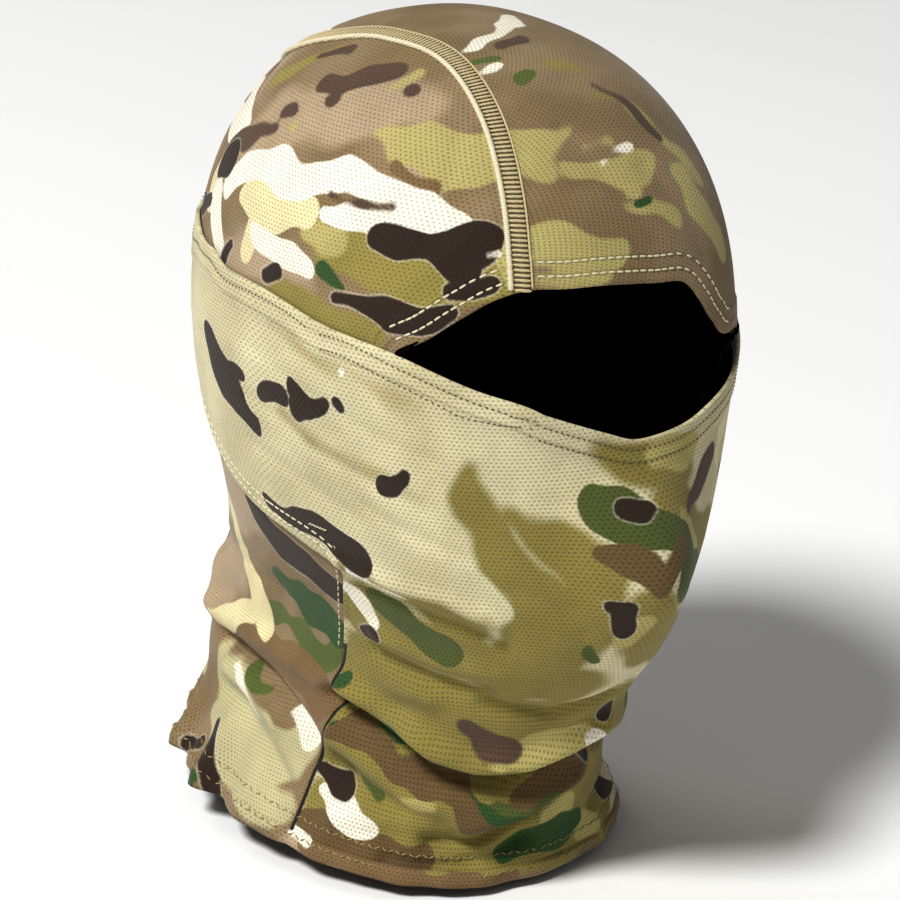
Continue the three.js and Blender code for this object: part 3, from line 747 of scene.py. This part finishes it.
def place_group(bench, name, **values):
    made = bench.node("ShaderNodeGroup", node_tree=GROUPS[name])
    for label, value in values.items():
        bench.put(made.inputs[label.replace("_dye", " dye")], value)
    return made.outputs


# Display codes of the inks.
DYES = {"tan": "ae9a7e", "khaki": "b2a76e", "olive": "94884a", "wedge": "bdb58e", "green": "5d6a33",
        "deep_green": "38562c", "brown": "806847", "sand": "ded2a6", "cream": "ebe5d3",
        "faded": "5c493b", "dark": "35281f", "spot": "ebe5d3"}


def print_material(name, base, pitch, row, wide, tall, dyes=None, wander=1.0):
    """Printed eyelet knit: ink, knit pits, needle-row grooves and wear; the pits and grooves are
    darkened as painted shade.
    """
    material, bench, shader = start_material(name, 0.82, sheen=0.12, specular=0.2)
    cloth = bench.node("ShaderNodeUVMap", uv_map="cloth").outputs[0]
    inks = {ink: bench.node("ShaderNodeAttribute", attribute_name="ink_" + ink).outputs["Fac"]
            for ink in LAYERS}
    dye = {ink + "_dye": colour({**DYES, **(dyes or {})}[ink]) for ink in LAYERS}
    printed = place_group(bench, "camouflage", Cloth=cloth, Wander=wander,
                          base_dye=colour(base), **inks, **dye)
    knit = place_group(bench, "knit", Cloth=cloth, Pitch=pitch, Row=row, Wide=wide, Tall=tall)
    worn = place_group(bench, "wear", Color=printed["Color"], Cloth=cloth, Amount=0.8)
    needle = bench.node("ShaderNodeAttribute", attribute_name="needle_row").outputs["Fac"]
    groove = bench.ramp(bench.math("ABSOLUTE", needle), 0.2, 1.1, 1.0, 0.0)
    # The knit pits and the needle-row grooves are darkened towards 2b2418: painted shade in the
    # hollows, on top of their real bump.
    shaded = bench.mix(bench.math("MULTIPLY", knit["Pit"], 0.4), worn["Color"], colour("2b2418"))
    shaded = bench.mix(bench.math("MULTIPLY", groove, 0.22), shaded, colour("2b2418"))
    bench.put(shader.inputs["Base Color"], shaded)
    bench.put(shader.inputs["Roughness"], bench.ramp(knit["Pit"], 0.0, 1.0, 0.78, 0.95))
    height = bench.math("SUBTRACT", knit["Height"], bench.math("MULTIPLY", groove, 1.4))
    bump = bench.node("ShaderNodeBump")
    bump.inputs["Strength"].default_value = 0.55
    bump.inputs["Distance"].default_value = 0.00035
    bench.put(bump.inputs["Height"], height)
    bench.put(shader.inputs["Normal"], bump.outputs[0])
    return material


def shaded_inner_material():
    # The inner face and the cut edges are coloured near black, darker still in the knit pits: painted
    # shade inside the hood, not the cloth's own colour.
    material, bench, shader = start_material("knit_inner_face", 0.95, specular=0.0)
    cloth = bench.node("ShaderNodeUVMap", uv_map="cloth").outputs[0]
    knit = place_group(bench, "knit", Cloth=cloth, Pitch=1.9, Row=1.9, Wide=0.34, Tall=0.24)
    bench.put(shader.inputs["Base Color"],
              bench.mix(knit["Pit"], colour("0b0a08"), colour("030302")))
    return material


def thread_material(name, code, dark):
    """Twisted thread: slanting bands in millimetres and slight uneven colour."""
    material, bench, shader = start_material(name, 0.6, sheen=0.1, specular=0.3)
    place = bench.node("ShaderNodeTexCoord").outputs["Object"]
    turn = bench.node("ShaderNodeVectorMath", operation="DOT_PRODUCT")
    bench.put(turn.inputs[0], place)
    turn.inputs[1].default_value = (5200, 4100, 6600)
    ply = bench.ramp(bench.math("SINE", turn.outputs["Value"]), -1.0, 1.0, 0.0, 1.0)
    fuzz = bench.noise(place, 900.0, 2.0)
    share = bench.math("MULTIPLY", bench.math("ADD", ply, fuzz), 0.5)
    bench.put(shader.inputs["Base Color"], bench.mix(share, colour(dark), colour(code)))
    bump = bench.node("ShaderNodeBump")
    bump.inputs["Strength"].default_value = 0.4
    bump.inputs["Distance"].default_value = 0.0002
    bench.put(bump.inputs["Height"], ply)
    bench.put(shader.inputs["Normal"], bump.outputs[0])
    return material


HOOD_KNIT = print_material("printed_hood_knit", "857151", 1.75, 1.2, 0.27, 0.27)
FRONT_KNIT = print_material("printed_front_knit", "d2caa6", 1.9, 1.35, 0.30, 0.29,
                            {"khaki": "b5aa6c", "tan": "a6986a", "olive": "8d8145", "wedge": "cfc8a4",
                             "brown": "6d5839", "green": "566030"})
INNER_SHADE = shaded_inner_material()
CREAM_THREAD = thread_material("cream_thread", "e9e2c8", "bfb38f")
SEAM_THREAD = thread_material("seam_thread", "dccfa6", "a8966c")
DARK_THREAD = thread_material("seam_bed", "6b5a3b", "463826")
# A near-black strip for the side seams: painted shadow in the gap between the panels.
GAP_SHADOW = thread_material("seam_gap_shadow", "2a2117", "15100a")
HEM_THREAD = thread_material("hem_thread", "b5a470", "7c6b44")


# ---- the cloth pieces ----------------------------------------------------------------------
WALL = 0.7
PRINT_LIFT = 2.0  # the print is laid on the unfolded cloth, this far over the form


def finish_cloth(piece, body=None):
    """Gives the cloth its thickness inward, with the near-black inner face inside: painted shade."""
    wall = piece.modifiers.new("wall", "SOLIDIFY")
    wall.thickness = WALL * MM
    wall.offset = -1
    wall.use_rim = True
    wall.material_offset = 1
    if body:
        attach(piece, body)


def grain(chart, half):
    """Cloth millimetres on a hood half: equal distances from the ear over the crown, and
    unrolled round the neck below the widest ring."""
    p = head_form(chart)
    centre = np.where(p[..., 2] > 0, 1.0, at_level(MIDDLE_BACK, np.clip(-p[..., 2] / DROP, 0, 1)))
    out = half * p[..., 0]
    back = p[..., 1] - centre
    up = np.maximum(p[..., 2], 0)
    ring = np.hypot(back, up)
    turn = np.arctan2(ring, out)
    share = turn * 84 / np.maximum(ring, 1e-6)
    return np.stack([share * back, share * up + np.minimum(p[..., 2], 0)], -1)


def hood_half(name, half, brow, under):
    """One half of the hood: a Coons patch between the centre seam, the brow edge, the side
    seam and the hem, with its brow edge turned under."""
    side = mirrored(SIDE_SEAM) if half < 0 else SIDE_SEAM
    seam = run_of(CENTRE_SEAM, 330)
    front = run_of(brow, 96)
    edge = run_of(brow[-1:] + under[1:] + side, 330)
    turn = np.linspace(-180 if half < 0 else 180, side[-1][0], 97)
    hem = chart_of(np.stack([turn, np.full(97, -180.0)], -1))
    chart = between(seam, edge, front, hem)
    points = raised(chart, hood_height(chart))
    folded = turned_rows(chart[0], half, hood_height(chart[0]))[::-1]
    flat_chart = np.broadcast_to(chart[0], folded.shape[:2] + (2,))
    points[0] = folded[-1]
    points = np.concatenate([folded[:-1], points])
    chart = np.concatenate([flat_chart[:-1], chart])
    rows, columns = points.shape[0] - 1, points.shape[1] - 1
    faces = grid_faces(rows, columns)
    facing = np.cross(points[200, 50] - points[200, 49], points[201, 50] - points[200, 50])
    if facing @ form_normal(chart[200, 50][None])[0] < 0:
        faces = faces[:, ::-1]
    piece = mesh_piece(name, points.reshape(-1, 3), faces, HOOD_KNIT, INNER_SHADE)
    spots = chart.reshape(-1, 2)
    set_uv(piece, grain(spots, half))
    turns = ([(148, -6, 0.96), (228, -16, 0.98), (262, 12, 1.0)] if half > 0
             else [(-74, 9, 1.0)])
    smooth = raised(spots, np.full(len(spots), PRINT_LIFT))
    put_print(piece, smooth, HOOD_PRINT, turns)
    near = line_distance(smooth, brow)
    set_value(piece, "needle_row", row_gap(near, BROW_ROWS))
    finish_cloth(piece, "hood")
    return piece


hood_right = hood_half("hood_cloth_right", -1, BROW_RIGHT, UNDER_RIGHT)
hood_left = hood_half("hood_cloth_left", 1, BROW_LEFT, UNDER_LEFT)


def front_cloth():
    """The face cover with its two wings, and the neck below it, as one cloth. Columns run down
    from the top edge; below the jaw only those between the side seams go on to the hem."""
    columns = 420
    angles = np.degrees(np.unwrap(np.radians(place_of(run_of(WHOLE_TOP, columns))[0])))
    angles[0], angles[-1] = -180, 180
    high, low = top_line(angles), low_line(angles)
    level = high[:, None] + (low - high)[:, None] * np.linspace(0, 1, 65)
    chart = chart_of(np.stack([np.broadcast_to(angles[:, None], level.shape), level], -1))
    points = raised(chart, front_height(chart))
    folded = turned_rows(chart[:, 0], -1, front_height(chart[:, 0]))[::-1]
    points[:, 0] = folded[-1]
    band_chart = np.concatenate([np.broadcast_to(chart[:, :1], (columns + 1, 7, 2)), chart], 1)
    band = np.concatenate([folded[:-1].transpose(1, 0, 2), points], 1)
    deep = band.shape[1] - 1
    faces = [grid_faces(columns, deep)]
    count = band.shape[0] * band.shape[1]
    parts, charts = [band.reshape(-1, 3)], [band_chart.reshape(-1, 2)]

    # the neck, whose columns fan out so that the outer two follow the side seams
    inside = np.where(np.abs(angles) <= SIDE)[0]
    first, last = inside[0], inside[-1]
    reach = np.linspace(0, 1, 78)[1:]
    side_angle, side_level = place_of(run_of(SIDE_SEAM, 200))
    start = low[first:last + 1]
    down = start[:, None] + (-180 - start)[:, None] * reach
    edge_now = np.interp(-down, -side_level, side_angle) + 0.1
    fan = edge_now * np.interp(angles[first:last + 1], angles[[first, last]], (-1, 1))[:, None]
    neck_chart = chart_of(np.stack([fan, down], -1))
    neck = raised(neck_chart, front_height(neck_chart))
    parts.append(neck.reshape(-1, 3))
    charts.append(neck_chart.reshape(-1, 2))
    faces.append(grid_faces(last - first, len(reach) - 1, count))
    i = np.arange(last - first)
    upper = (first + i) * (deep + 1) + deep
    lower = count + i * len(reach)
    faces.append(np.stack([upper, lower, lower + len(reach), upper + deep + 1], -1))
    count += neck.shape[0] * neck.shape[1]

    # the wings' lower edges, turned under
    for begin, end in ((0, first), (last, columns)):
        run = chart[begin:end + 1, -1]
        turned = turned_rows(run, 1, front_height(run))[1:].transpose(1, 0, 2)
        n = turned.shape[1]
        parts.append(turned.reshape(-1, 3))
        charts.append(np.broadcast_to(run[:, None], (len(run), n, 2)).reshape(-1, 2))
        faces.append(grid_faces(end - begin, n - 1, count))
        i = np.arange(end - begin)
        upper = (begin + i) * (deep + 1) + deep
        lower = count + i * n
        faces.append(np.stack([upper, lower, lower + n, upper + deep + 1], -1))
        count += len(run) * n
    p, spots, faces = np.concatenate(parts), np.concatenate(charts), np.concatenate(faces)
    a, b, c = (band[200, 30], band[201, 30], band[200, 31])
    if np.cross(c - a, b - a) @ form_normal(band_chart[200, 30][None])[0] < 0:
        faces = faces[:, ::-1]
    piece = mesh_piece("front_cloth", p, faces, FRONT_KNIT, INNER_SHADE)
    angle, level = place_of(spots)
    angle[:band.shape[0] * band.shape[1]] = np.repeat(angles, deep + 1)
    set_uv(piece, np.stack([np.radians(angle) * 92, level], -1))
    smooth = raised(spots, np.full(len(spots), PRINT_LIFT))
    put_print(piece, smooth, FRONT_PRINT, [(118, 4, 0.92), (-112, 6, 0.9)])
    near = np.maximum(top_line(angle) - level, -9)
    top = line_distance(smooth, WHOLE_TOP)
    row = np.where(near > -4, row_gap(top, COVER_ROWS), 9)
    set_value(piece, "needle_row", row)
    finish_cloth(piece)
    return piece


front = front_cloth()


# ---- threads -------------------------------------------------------------------------------
def stitches(name, centres, along, up, size, material, body="hood", rings=5, sides=6):
    """Short threads: an ellipse section swept along each stitch, its radius falling to the
    ends as sqrt(1 - u^2); size is (length, width, height)."""
    u = np.cos(np.linspace(0, np.pi, rings))
    v = np.linspace(0, 2 * np.pi, sides, endpoint=False)
    radius = np.sqrt(np.maximum(1 - u**4, 0.02))
    ring = np.stack(np.broadcast_arrays(u[:, None] * size[0] / 2,
                                        radius[:, None] * np.cos(v) * size[1] / 2,
                                        radius[:, None] * np.sin(v) * size[2] / 2), -1)
    ring = ring.reshape(-1, 3)
    side = unit(np.cross(up, along))
    frame_axes = np.stack([along, side, np.cross(along, side)], 1)
    points = centres[:, None] + np.einsum("vk,nkc->nvc", ring, frame_axes)
    return sleeves(name, points.reshape(len(centres), rings, sides, 3), material, body)


def sleeves(name, loops, material, body):
    """Closed tubes in one mesh. loops holds, for each tube, rings of points; each ring is joined
    to the next by quads and the end rings are capped."""
    copies, rings, sides = loops.shape[:3]
    i, j = np.meshgrid(np.arange(rings - 1), np.arange(sides), indexing="ij")
    a, b = i * sides + j, i * sides + (j + 1) % sides
    quads = np.stack([a, b, b + sides, a + sides], -1).reshape(-1, 4)
    last = rings * sides
    caps = np.stack([np.arange(sides)[::-1], np.arange(last - sides, last)])
    each = np.arange(copies)[:, None, None] * last
    faces = (quads + each).reshape(-1, 4).tolist() + (caps + each).reshape(-1, sides).tolist()
    piece = mesh_piece(name, loops.reshape(-1, 3), faces, material)
    closed_outward(piece.data)
    if body:
        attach(piece, body)
    return piece


def closed_outward(mesh):
    """Turns all faces over if the closed mesh's volume comes out negative."""
    co = np.zeros(len(mesh.vertices) * 3)
    mesh.vertices.foreach_get("co", co)
    co = co.reshape(-1, 3)
    mesh.calc_loop_triangles()
    tri = np.zeros(len(mesh.loop_triangles) * 3, int)
    mesh.loop_triangles.foreach_get("vertices", tri)
    a, b, c = co[tri.reshape(-1, 3)].transpose(1, 0, 2)
    if (a * np.cross(b, c)).sum() < 0:
        mesh.flip_normals()


def on_cloth(run, height, lift):
    """Points, travel and upward directions of a run on the cloth's outer face."""
    points = raised(run, height(run) + lift)
    return points, unit(np.gradient(points, axis=0)), form_normal(run)


def needle_row(name, line, side, height, pitch=3.0, size=(2.6, 0.8, 0.6), lift=0.12,
               material=CREAM_THREAD, body="hood", trim=(0, 0)):
    """A row of straight stitches beside a line."""
    run = beside(run_of(line, pitch=pitch), side)[1 + trim[0]:-1 - trim[1]]
    points, along, up = on_cloth(run, height, lift)
    return stitches(name, points, along, up, size, material, body)


def cord(name, run, radius, height, lift, material, twist=1.6, body="hood"):
    """A round thread laid on the cloth; its radius swells as |cos| once each twist."""
    points, along, up = on_cloth(run, height, lift)
    length = np.concatenate([[0], np.cumsum(np.linalg.norm(np.diff(points, axis=0), axis=1))])
    swell = radius * (0.8 + 0.3 * np.abs(np.cos(np.pi * length / twist)))
    swell[[0, -1]] = 0.05
    v = np.linspace(0, 2 * np.pi, 8, endpoint=False)
    side = unit(np.cross(up, along))
    up = np.cross(along, side)
    ring = (np.cos(v)[None, :, None] * side[:, None] + np.sin(v)[None, :, None] * up[:, None])
    return sleeves(name, (points[:, None] + ring * swell[:, None, None])[None], material, body)


def strip(name, run, width, height, lift, material, body="hood", crown=0.25):
    """A closed low strip along a run: a half-ellipse section of the given width."""
    across = np.linspace(-1, 1, 9)
    rows = []
    for u in across:
        spot = beside(run, u * width / 2)
        rows.append(raised(spot, height(spot) + lift + crown * math.sqrt(1 - u * u)))
    for u in across[::-1]:
        spot = beside(run, u * width / 2)
        rows.append(raised(spot, height(spot) - 0.25))
    return sleeves(name, np.stack(rows, 1)[None], material, body)


def lengthwise(line, start, end, pitch):
    """Part of the smooth run through a line, between two shares of its length."""
    whole = run_of(line, pitch=0.5)
    count = max(int((end - start) * len(whole) * 0.5 / pitch), 2)
    at = np.linspace(start, end, count + 1) * (len(whole) - 1)
    return np.stack([np.interp(at, np.arange(len(whole)), whole[:, k]) for k in (0, 1)], -1)


CROWN_END = 0.56  # where the crown's part of the centre seam meets the wings


def ladder_seam(name, start, end):
    """A flat ladder seam: a bed, rungs of thread across it and a thread down each edge."""
    bed = strip(name + "_bed", lengthwise(CENTRE_SEAM, start, end, 1.2), 6.6, hood_height, 0.05,
                DARK_THREAD)
    centre = lengthwise(CENTRE_SEAM, start, end, 1.55)
    points, along, up = on_cloth(centre, hood_height, 0.42)
    across = unit(np.cross(up, along))
    lean = unit(across + 0.12 * along)
    rungs = stitches(name + "_rungs", points, lean, up, (5.9, 1.1, 0.8), SEAM_THREAD)
    edge = beside(lengthwise(CENTRE_SEAM, start, end, 0.8), -3.0)
    edging = cord(name + "_edge_thread", edge, 0.42, hood_height, 0.35, SEAM_THREAD)
    return bed, rungs, edging


crown_bed, crown_rungs, crown_edge = ladder_seam("crown_seam", 0.0, CROWN_END)
nape_bed, nape_rungs, nape_edge = ladder_seam("nape_seam", CROWN_END, 1.0)
crown_cord = cord("crown_seam_cord_thread",
                  beside(lengthwise(CENTRE_SEAM, 0.0, CROWN_END, 0.7), 3.6),
                  0.95, hood_height, 0.55, CREAM_THREAD, 2.1)

brow_rows = []
for side_name, line, inward in (("right", BROW_RIGHT, -1), ("left", BROW_LEFT, 1)):
    for number, into in enumerate(BROW_ROWS, 1):
        brow_rows.append(needle_row(f"brow_row_{side_name}_{number}", line, inward * into,
                                    hood_height, trim=(1, 10 if side_name == "left" else 0)))

face_rows = []
for number, into in enumerate(COVER_ROWS, 1):
    face_rows.append(needle_row(f"face_top_row_{number}", COVER_TOP, -into, front_height, 2.0,
                                (1.1, 0.5, 0.4), 0.02, DARK_THREAD, None))
blended = [front] + face_rows
wing_rows = {}
for side_name, line in (("right", [(-179, 34)] + WING_TOP_RIGHT[1:] + [(-75, 20.7)]),
                        ("left", [(75, 16.3)] + WING_TOP_LEFT[:-1] + [(179, 34)])):
    wing_rows[side_name] = needle_row(f"wing_top_row_{side_name}", line, -COVER_ROWS[0], front_height,
                                      2.0, (1.1, 0.5, 0.4), 0.02, DARK_THREAD, None)
    blended.append(wing_rows[side_name])
low_rows = {}
for side_name, line in (("right", mirrored(WING_LOW_LEFT)[::-1] + [(-75, -67.5)]),
                        ("left", [(75, -67.5)] + WING_LOW_LEFT)):
    for number, into in enumerate(WING_LOW_ROWS, 1):
        low_rows[side_name, number] = needle_row(f"wing_low_row_{side_name}_{number}", line,
                                                 into, front_height, body=None)
        blended.append(low_rows[side_name, number])

side_threads_and_shadows = {}
for side_name, line, out in (("right", mirrored(SIDE_SEAM), 1), ("left", SIDE_SEAM, -1)):
    upper = lengthwise(line, 0.0, 0.34, 3.2)
    spots = beside(upper, -out * 1.9)
    points, along, up = on_cloth(spots, front_height, 0.15)
    threads = stitches(f"side_seam_stitches_{side_name}", points[1:], along[1:], up[1:],
                       (2.3, 0.6, 0.5), CREAM_THREAD, None)
    # The near-black strip along the seam is painted shadow in the seam's gap.
    groove = strip(f"side_seam_groove_{side_name}", lengthwise(line, 0.0, 0.985, 1.5), 1.3,
                   hood_height, 0.12, GAP_SHADOW, None, 0.15)
    side_threads_and_shadows[side_name] = (threads, groove)
    blended += [threads, groove]

tacks = {}
for side_name, sign in (("right", -1), ("left", 1)):
    spots = np.array([[sign * a, -54.0] for a in np.linspace(76, 80, 7)])
    points, along, up = on_cloth(chart_of(spots), front_height, 0.2)
    slant = unit(along + 0.5 * np.cross(up, along))
    tacks[side_name] = stitches(f"side_tack_thread_{side_name}", points, slant, up,
                                (2.0, 0.55, 0.5), CREAM_THREAD, None)
    blended.append(tacks[side_name])

back_line = [(180, 31), (180, 10), (180, -25)]
back_run = run_of(back_line, pitch=1.55)
points, along, up = on_cloth(back_run, front_height, 0.3)
wing_back = stitches("wing_back_rungs", points, unit(np.cross(up, along)), up, (5.0, 0.85, 0.7),
                     SEAM_THREAD, None)
wing_back_bed = strip("wing_back_bed", run_of(back_line, pitch=1.5), 6.0, front_height, 0.05,
                      DARK_THREAD, None)
blended += [wing_back, wing_back_bed]


# ---- the bottom edge -----------------------------------------------------------------------
def edge_height(chart):
    """The lower of the cloth faces that meet at the hem, front or back of the side seams."""
    angle = place_of(chart)[0]
    front_part = smooth_step((74 - np.abs(angle)) / 3 + 0.5)
    return hood_height(chart) * (1 - front_part) + front_height(chart) * front_part


def round_line(level, pitch=1.2):
    """Chart points all the way round at one level."""
    count = int(520 / pitch)
    return chart_of(np.stack([np.linspace(-180, 180, count + 1)[:-1],
                              np.full(count, float(level))], -1))


def hem_band():
    """The bound edge: the cloth's turned lower edge as a closed ring, round below."""
    run = round_line(-180)
    base = edge_height(run)
    profile = [(-0.6, 0.25), (0.7, 0.55), (2.4, 0.65), (4.0, 0.55), (4.6, 0.0), (4.6, -1.2),
               (2.5, -1.75), (0.7, -1.75), (-0.6, -1.2)]
    spots = np.stack([round_line(-180.0 + rise) for rise, out in profile], 1)
    loop = raised(spots, base[:, None] + [out for rise, out in profile])
    n, m = loop.shape[:2]
    i, j = np.meshgrid(np.arange(n), np.arange(m), indexing="ij")
    a, b = i * m + j, i * m + (j + 1) % m
    c, d = (i + 1) % n * m + (j + 1) % m, (i + 1) % n * m + j
    faces = np.stack([a, b, c, d], -1).reshape(-1, 4)
    piece = mesh_piece("bottom_edge_band", loop.reshape(-1, 3), faces, HOOD_KNIT)
    closed_outward(piece.data)
    angle = np.repeat(np.linspace(-180, 180, n + 1)[:-1], m)
    set_uv(piece, np.stack([np.radians(angle) * 78, np.tile([p[0] for p in profile], n)], -1))
    table = {ink: HOOD_PRINT.get(ink, []) + FRONT_PRINT.get(ink, []) for ink in LAYERS}
    put_print(piece, raised(flat(spots), np.full(n * m, PRINT_LIFT)), table, [(148, -6, 0.96)])
    set_value(piece, "needle_row", np.full(n * m, 9.0))
    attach(piece, "hood")
    return piece


binding = hem_band()
hem_rows = []
for number, level in ((1, -176.6), (2, -171.0)):
    run = round_line(level, 2.9)
    points, along, up = on_cloth(run, edge_height, 0.95 if number == 1 else 0.15)
    slant = unit(along + (0.55 * (-1.0) ** np.arange(len(run)))[:, None] * np.cross(up, along))
    hem_rows.append(stitches(f"bottom_row_{number}", points, slant, up, (2.3, 0.55, 0.45),
                             HEM_THREAD))

# ---- what moves, what stands for what ------------------------------------------------------
for piece in blended:
    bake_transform(piece)

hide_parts("brow_panel_right", "crown_panel_right", "nape_panel_right",
            "brow_hem_right")
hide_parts("brow_panel_left", "crown_panel_left", "nape_panel_left",
            "brow_hem_left")
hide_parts("face_panel", "face_top_hem", "wing_right", "wing_left",
            "wing_top_hem_right", "wing_top_hem_left", "wing_low_hem_right",
            "wing_low_hem_left", "neck_front_panel")
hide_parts("crown_seam")
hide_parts("nape_seam")
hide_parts("crown_seam_cord")
for row in brow_rows + face_rows + hem_rows:
    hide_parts(row.name.replace("_row", "_stitch"))
for side_name in ("right", "left"):
    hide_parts(f"wing_top_stitch_{side_name}")
    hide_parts(f"wing_low_stitch_{side_name}")
    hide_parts(f"side_seam_{side_name}")
    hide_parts(f"side_tack_{side_name}")
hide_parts("wing_back_seam")
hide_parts("bottom_hem", "bottom_binding")

cream = brow_rows + list(low_rows.values()) + list(tacks.values()) + [crown_cord]
cream += [pair[0] for pair in side_threads_and_shadows.values()]
seam = [crown_bed, crown_rungs, crown_edge, nape_bed, nape_rungs, nape_edge, wing_back,
        wing_back_bed] + hem_rows + face_rows + list(wing_rows.values())
seam += [pair[1] for pair in side_threads_and_shadows.values()]

# ---- floor, light and camera ---------------------------------------------------------------
def floor():
    mesh = bpy.data.meshes.new("floor")
    z = -0.1925
    mesh.from_pydata([(-14, -14, z), (14, -14, z), (14, 14, z), (-14, 14, z)], [], [(0, 1, 2, 3)])
    material, _, shader = start_material("pale_floor", 0.9, specular=0.1)
    shader.inputs["Base Color"].default_value = (0.92, 0.92, 0.91, 1)
    mesh.materials.append(material)
    piece = bpy.data.objects.new("floor", mesh)
    bpy.context.scene.collection.objects.link(piece)


def lamp(name, place, aim, size, power):
    light = bpy.data.lights.new(name, "AREA")
    light.shape, light.size, light.energy = "DISK", size, power
    holder = bpy.data.objects.new(name, light)
    bpy.context.scene.collection.objects.link(holder)
    holder.location = place
    direction = np.array(aim) - np.array(place)
    holder.rotation_euler = Vector(direction).to_track_quat("-Z", "Y").to_euler()


def camera():
    """36 degrees round to the wearer's right and 20 degrees up, tipped over a little."""
    turn, rise, roll = math.radians(-36), math.radians(20), math.radians(1.2)
    back = np.array([math.sin(turn) * math.cos(rise), -math.cos(turn) * math.cos(rise),
                     math.sin(rise)])
    right = np.array([math.cos(turn), math.sin(turn), 0.0])
    up = np.cross(back, right)
    right, up = (right * math.cos(roll) + up * math.sin(roll),
                 up * math.cos(roll) - right * math.sin(roll))
    spot = back * 1.393 - up * 0.0455 - right * 0.003
    view = bpy.data.cameras.new("camera")
    view.lens, view.sensor_width = 163.08, 36.0
    view.clip_start, view.clip_end = 0.05, 20
    holder = bpy.data.objects.new("camera", view)
    bpy.context.scene.collection.objects.link(holder)
    holder.matrix_world = Matrix([[*pair, 0] for pair in zip(right, up, back)] + [[0, 0, 0, 1]])
    holder.location = spot
    bpy.context.scene.camera = holder


floor()
world = bpy.data.worlds.new("studio")
world.use_nodes = True
world.node_tree.nodes["Background"].inputs[0].default_value = (1, 1, 1, 1)
world.node_tree.nodes["Background"].inputs[1].default_value = 0.17
bpy.context.scene.world = world
lamp("key", (-3.6, -1.1, 4.6), (0, 0, -0.02), 1.5, 410)
lamp("fill", (1.6, -1.6, 0.9), (0, 0, -0.06), 1.4, 2.5)
lamp("back", (-0.4, 1.8, 1.6), (0, 0, 0), 1.2, 10)
camera()
bpy.context.scene.view_settings.view_transform = "Standard"
bpy.context.scene.view_settings.gamma = 0.84
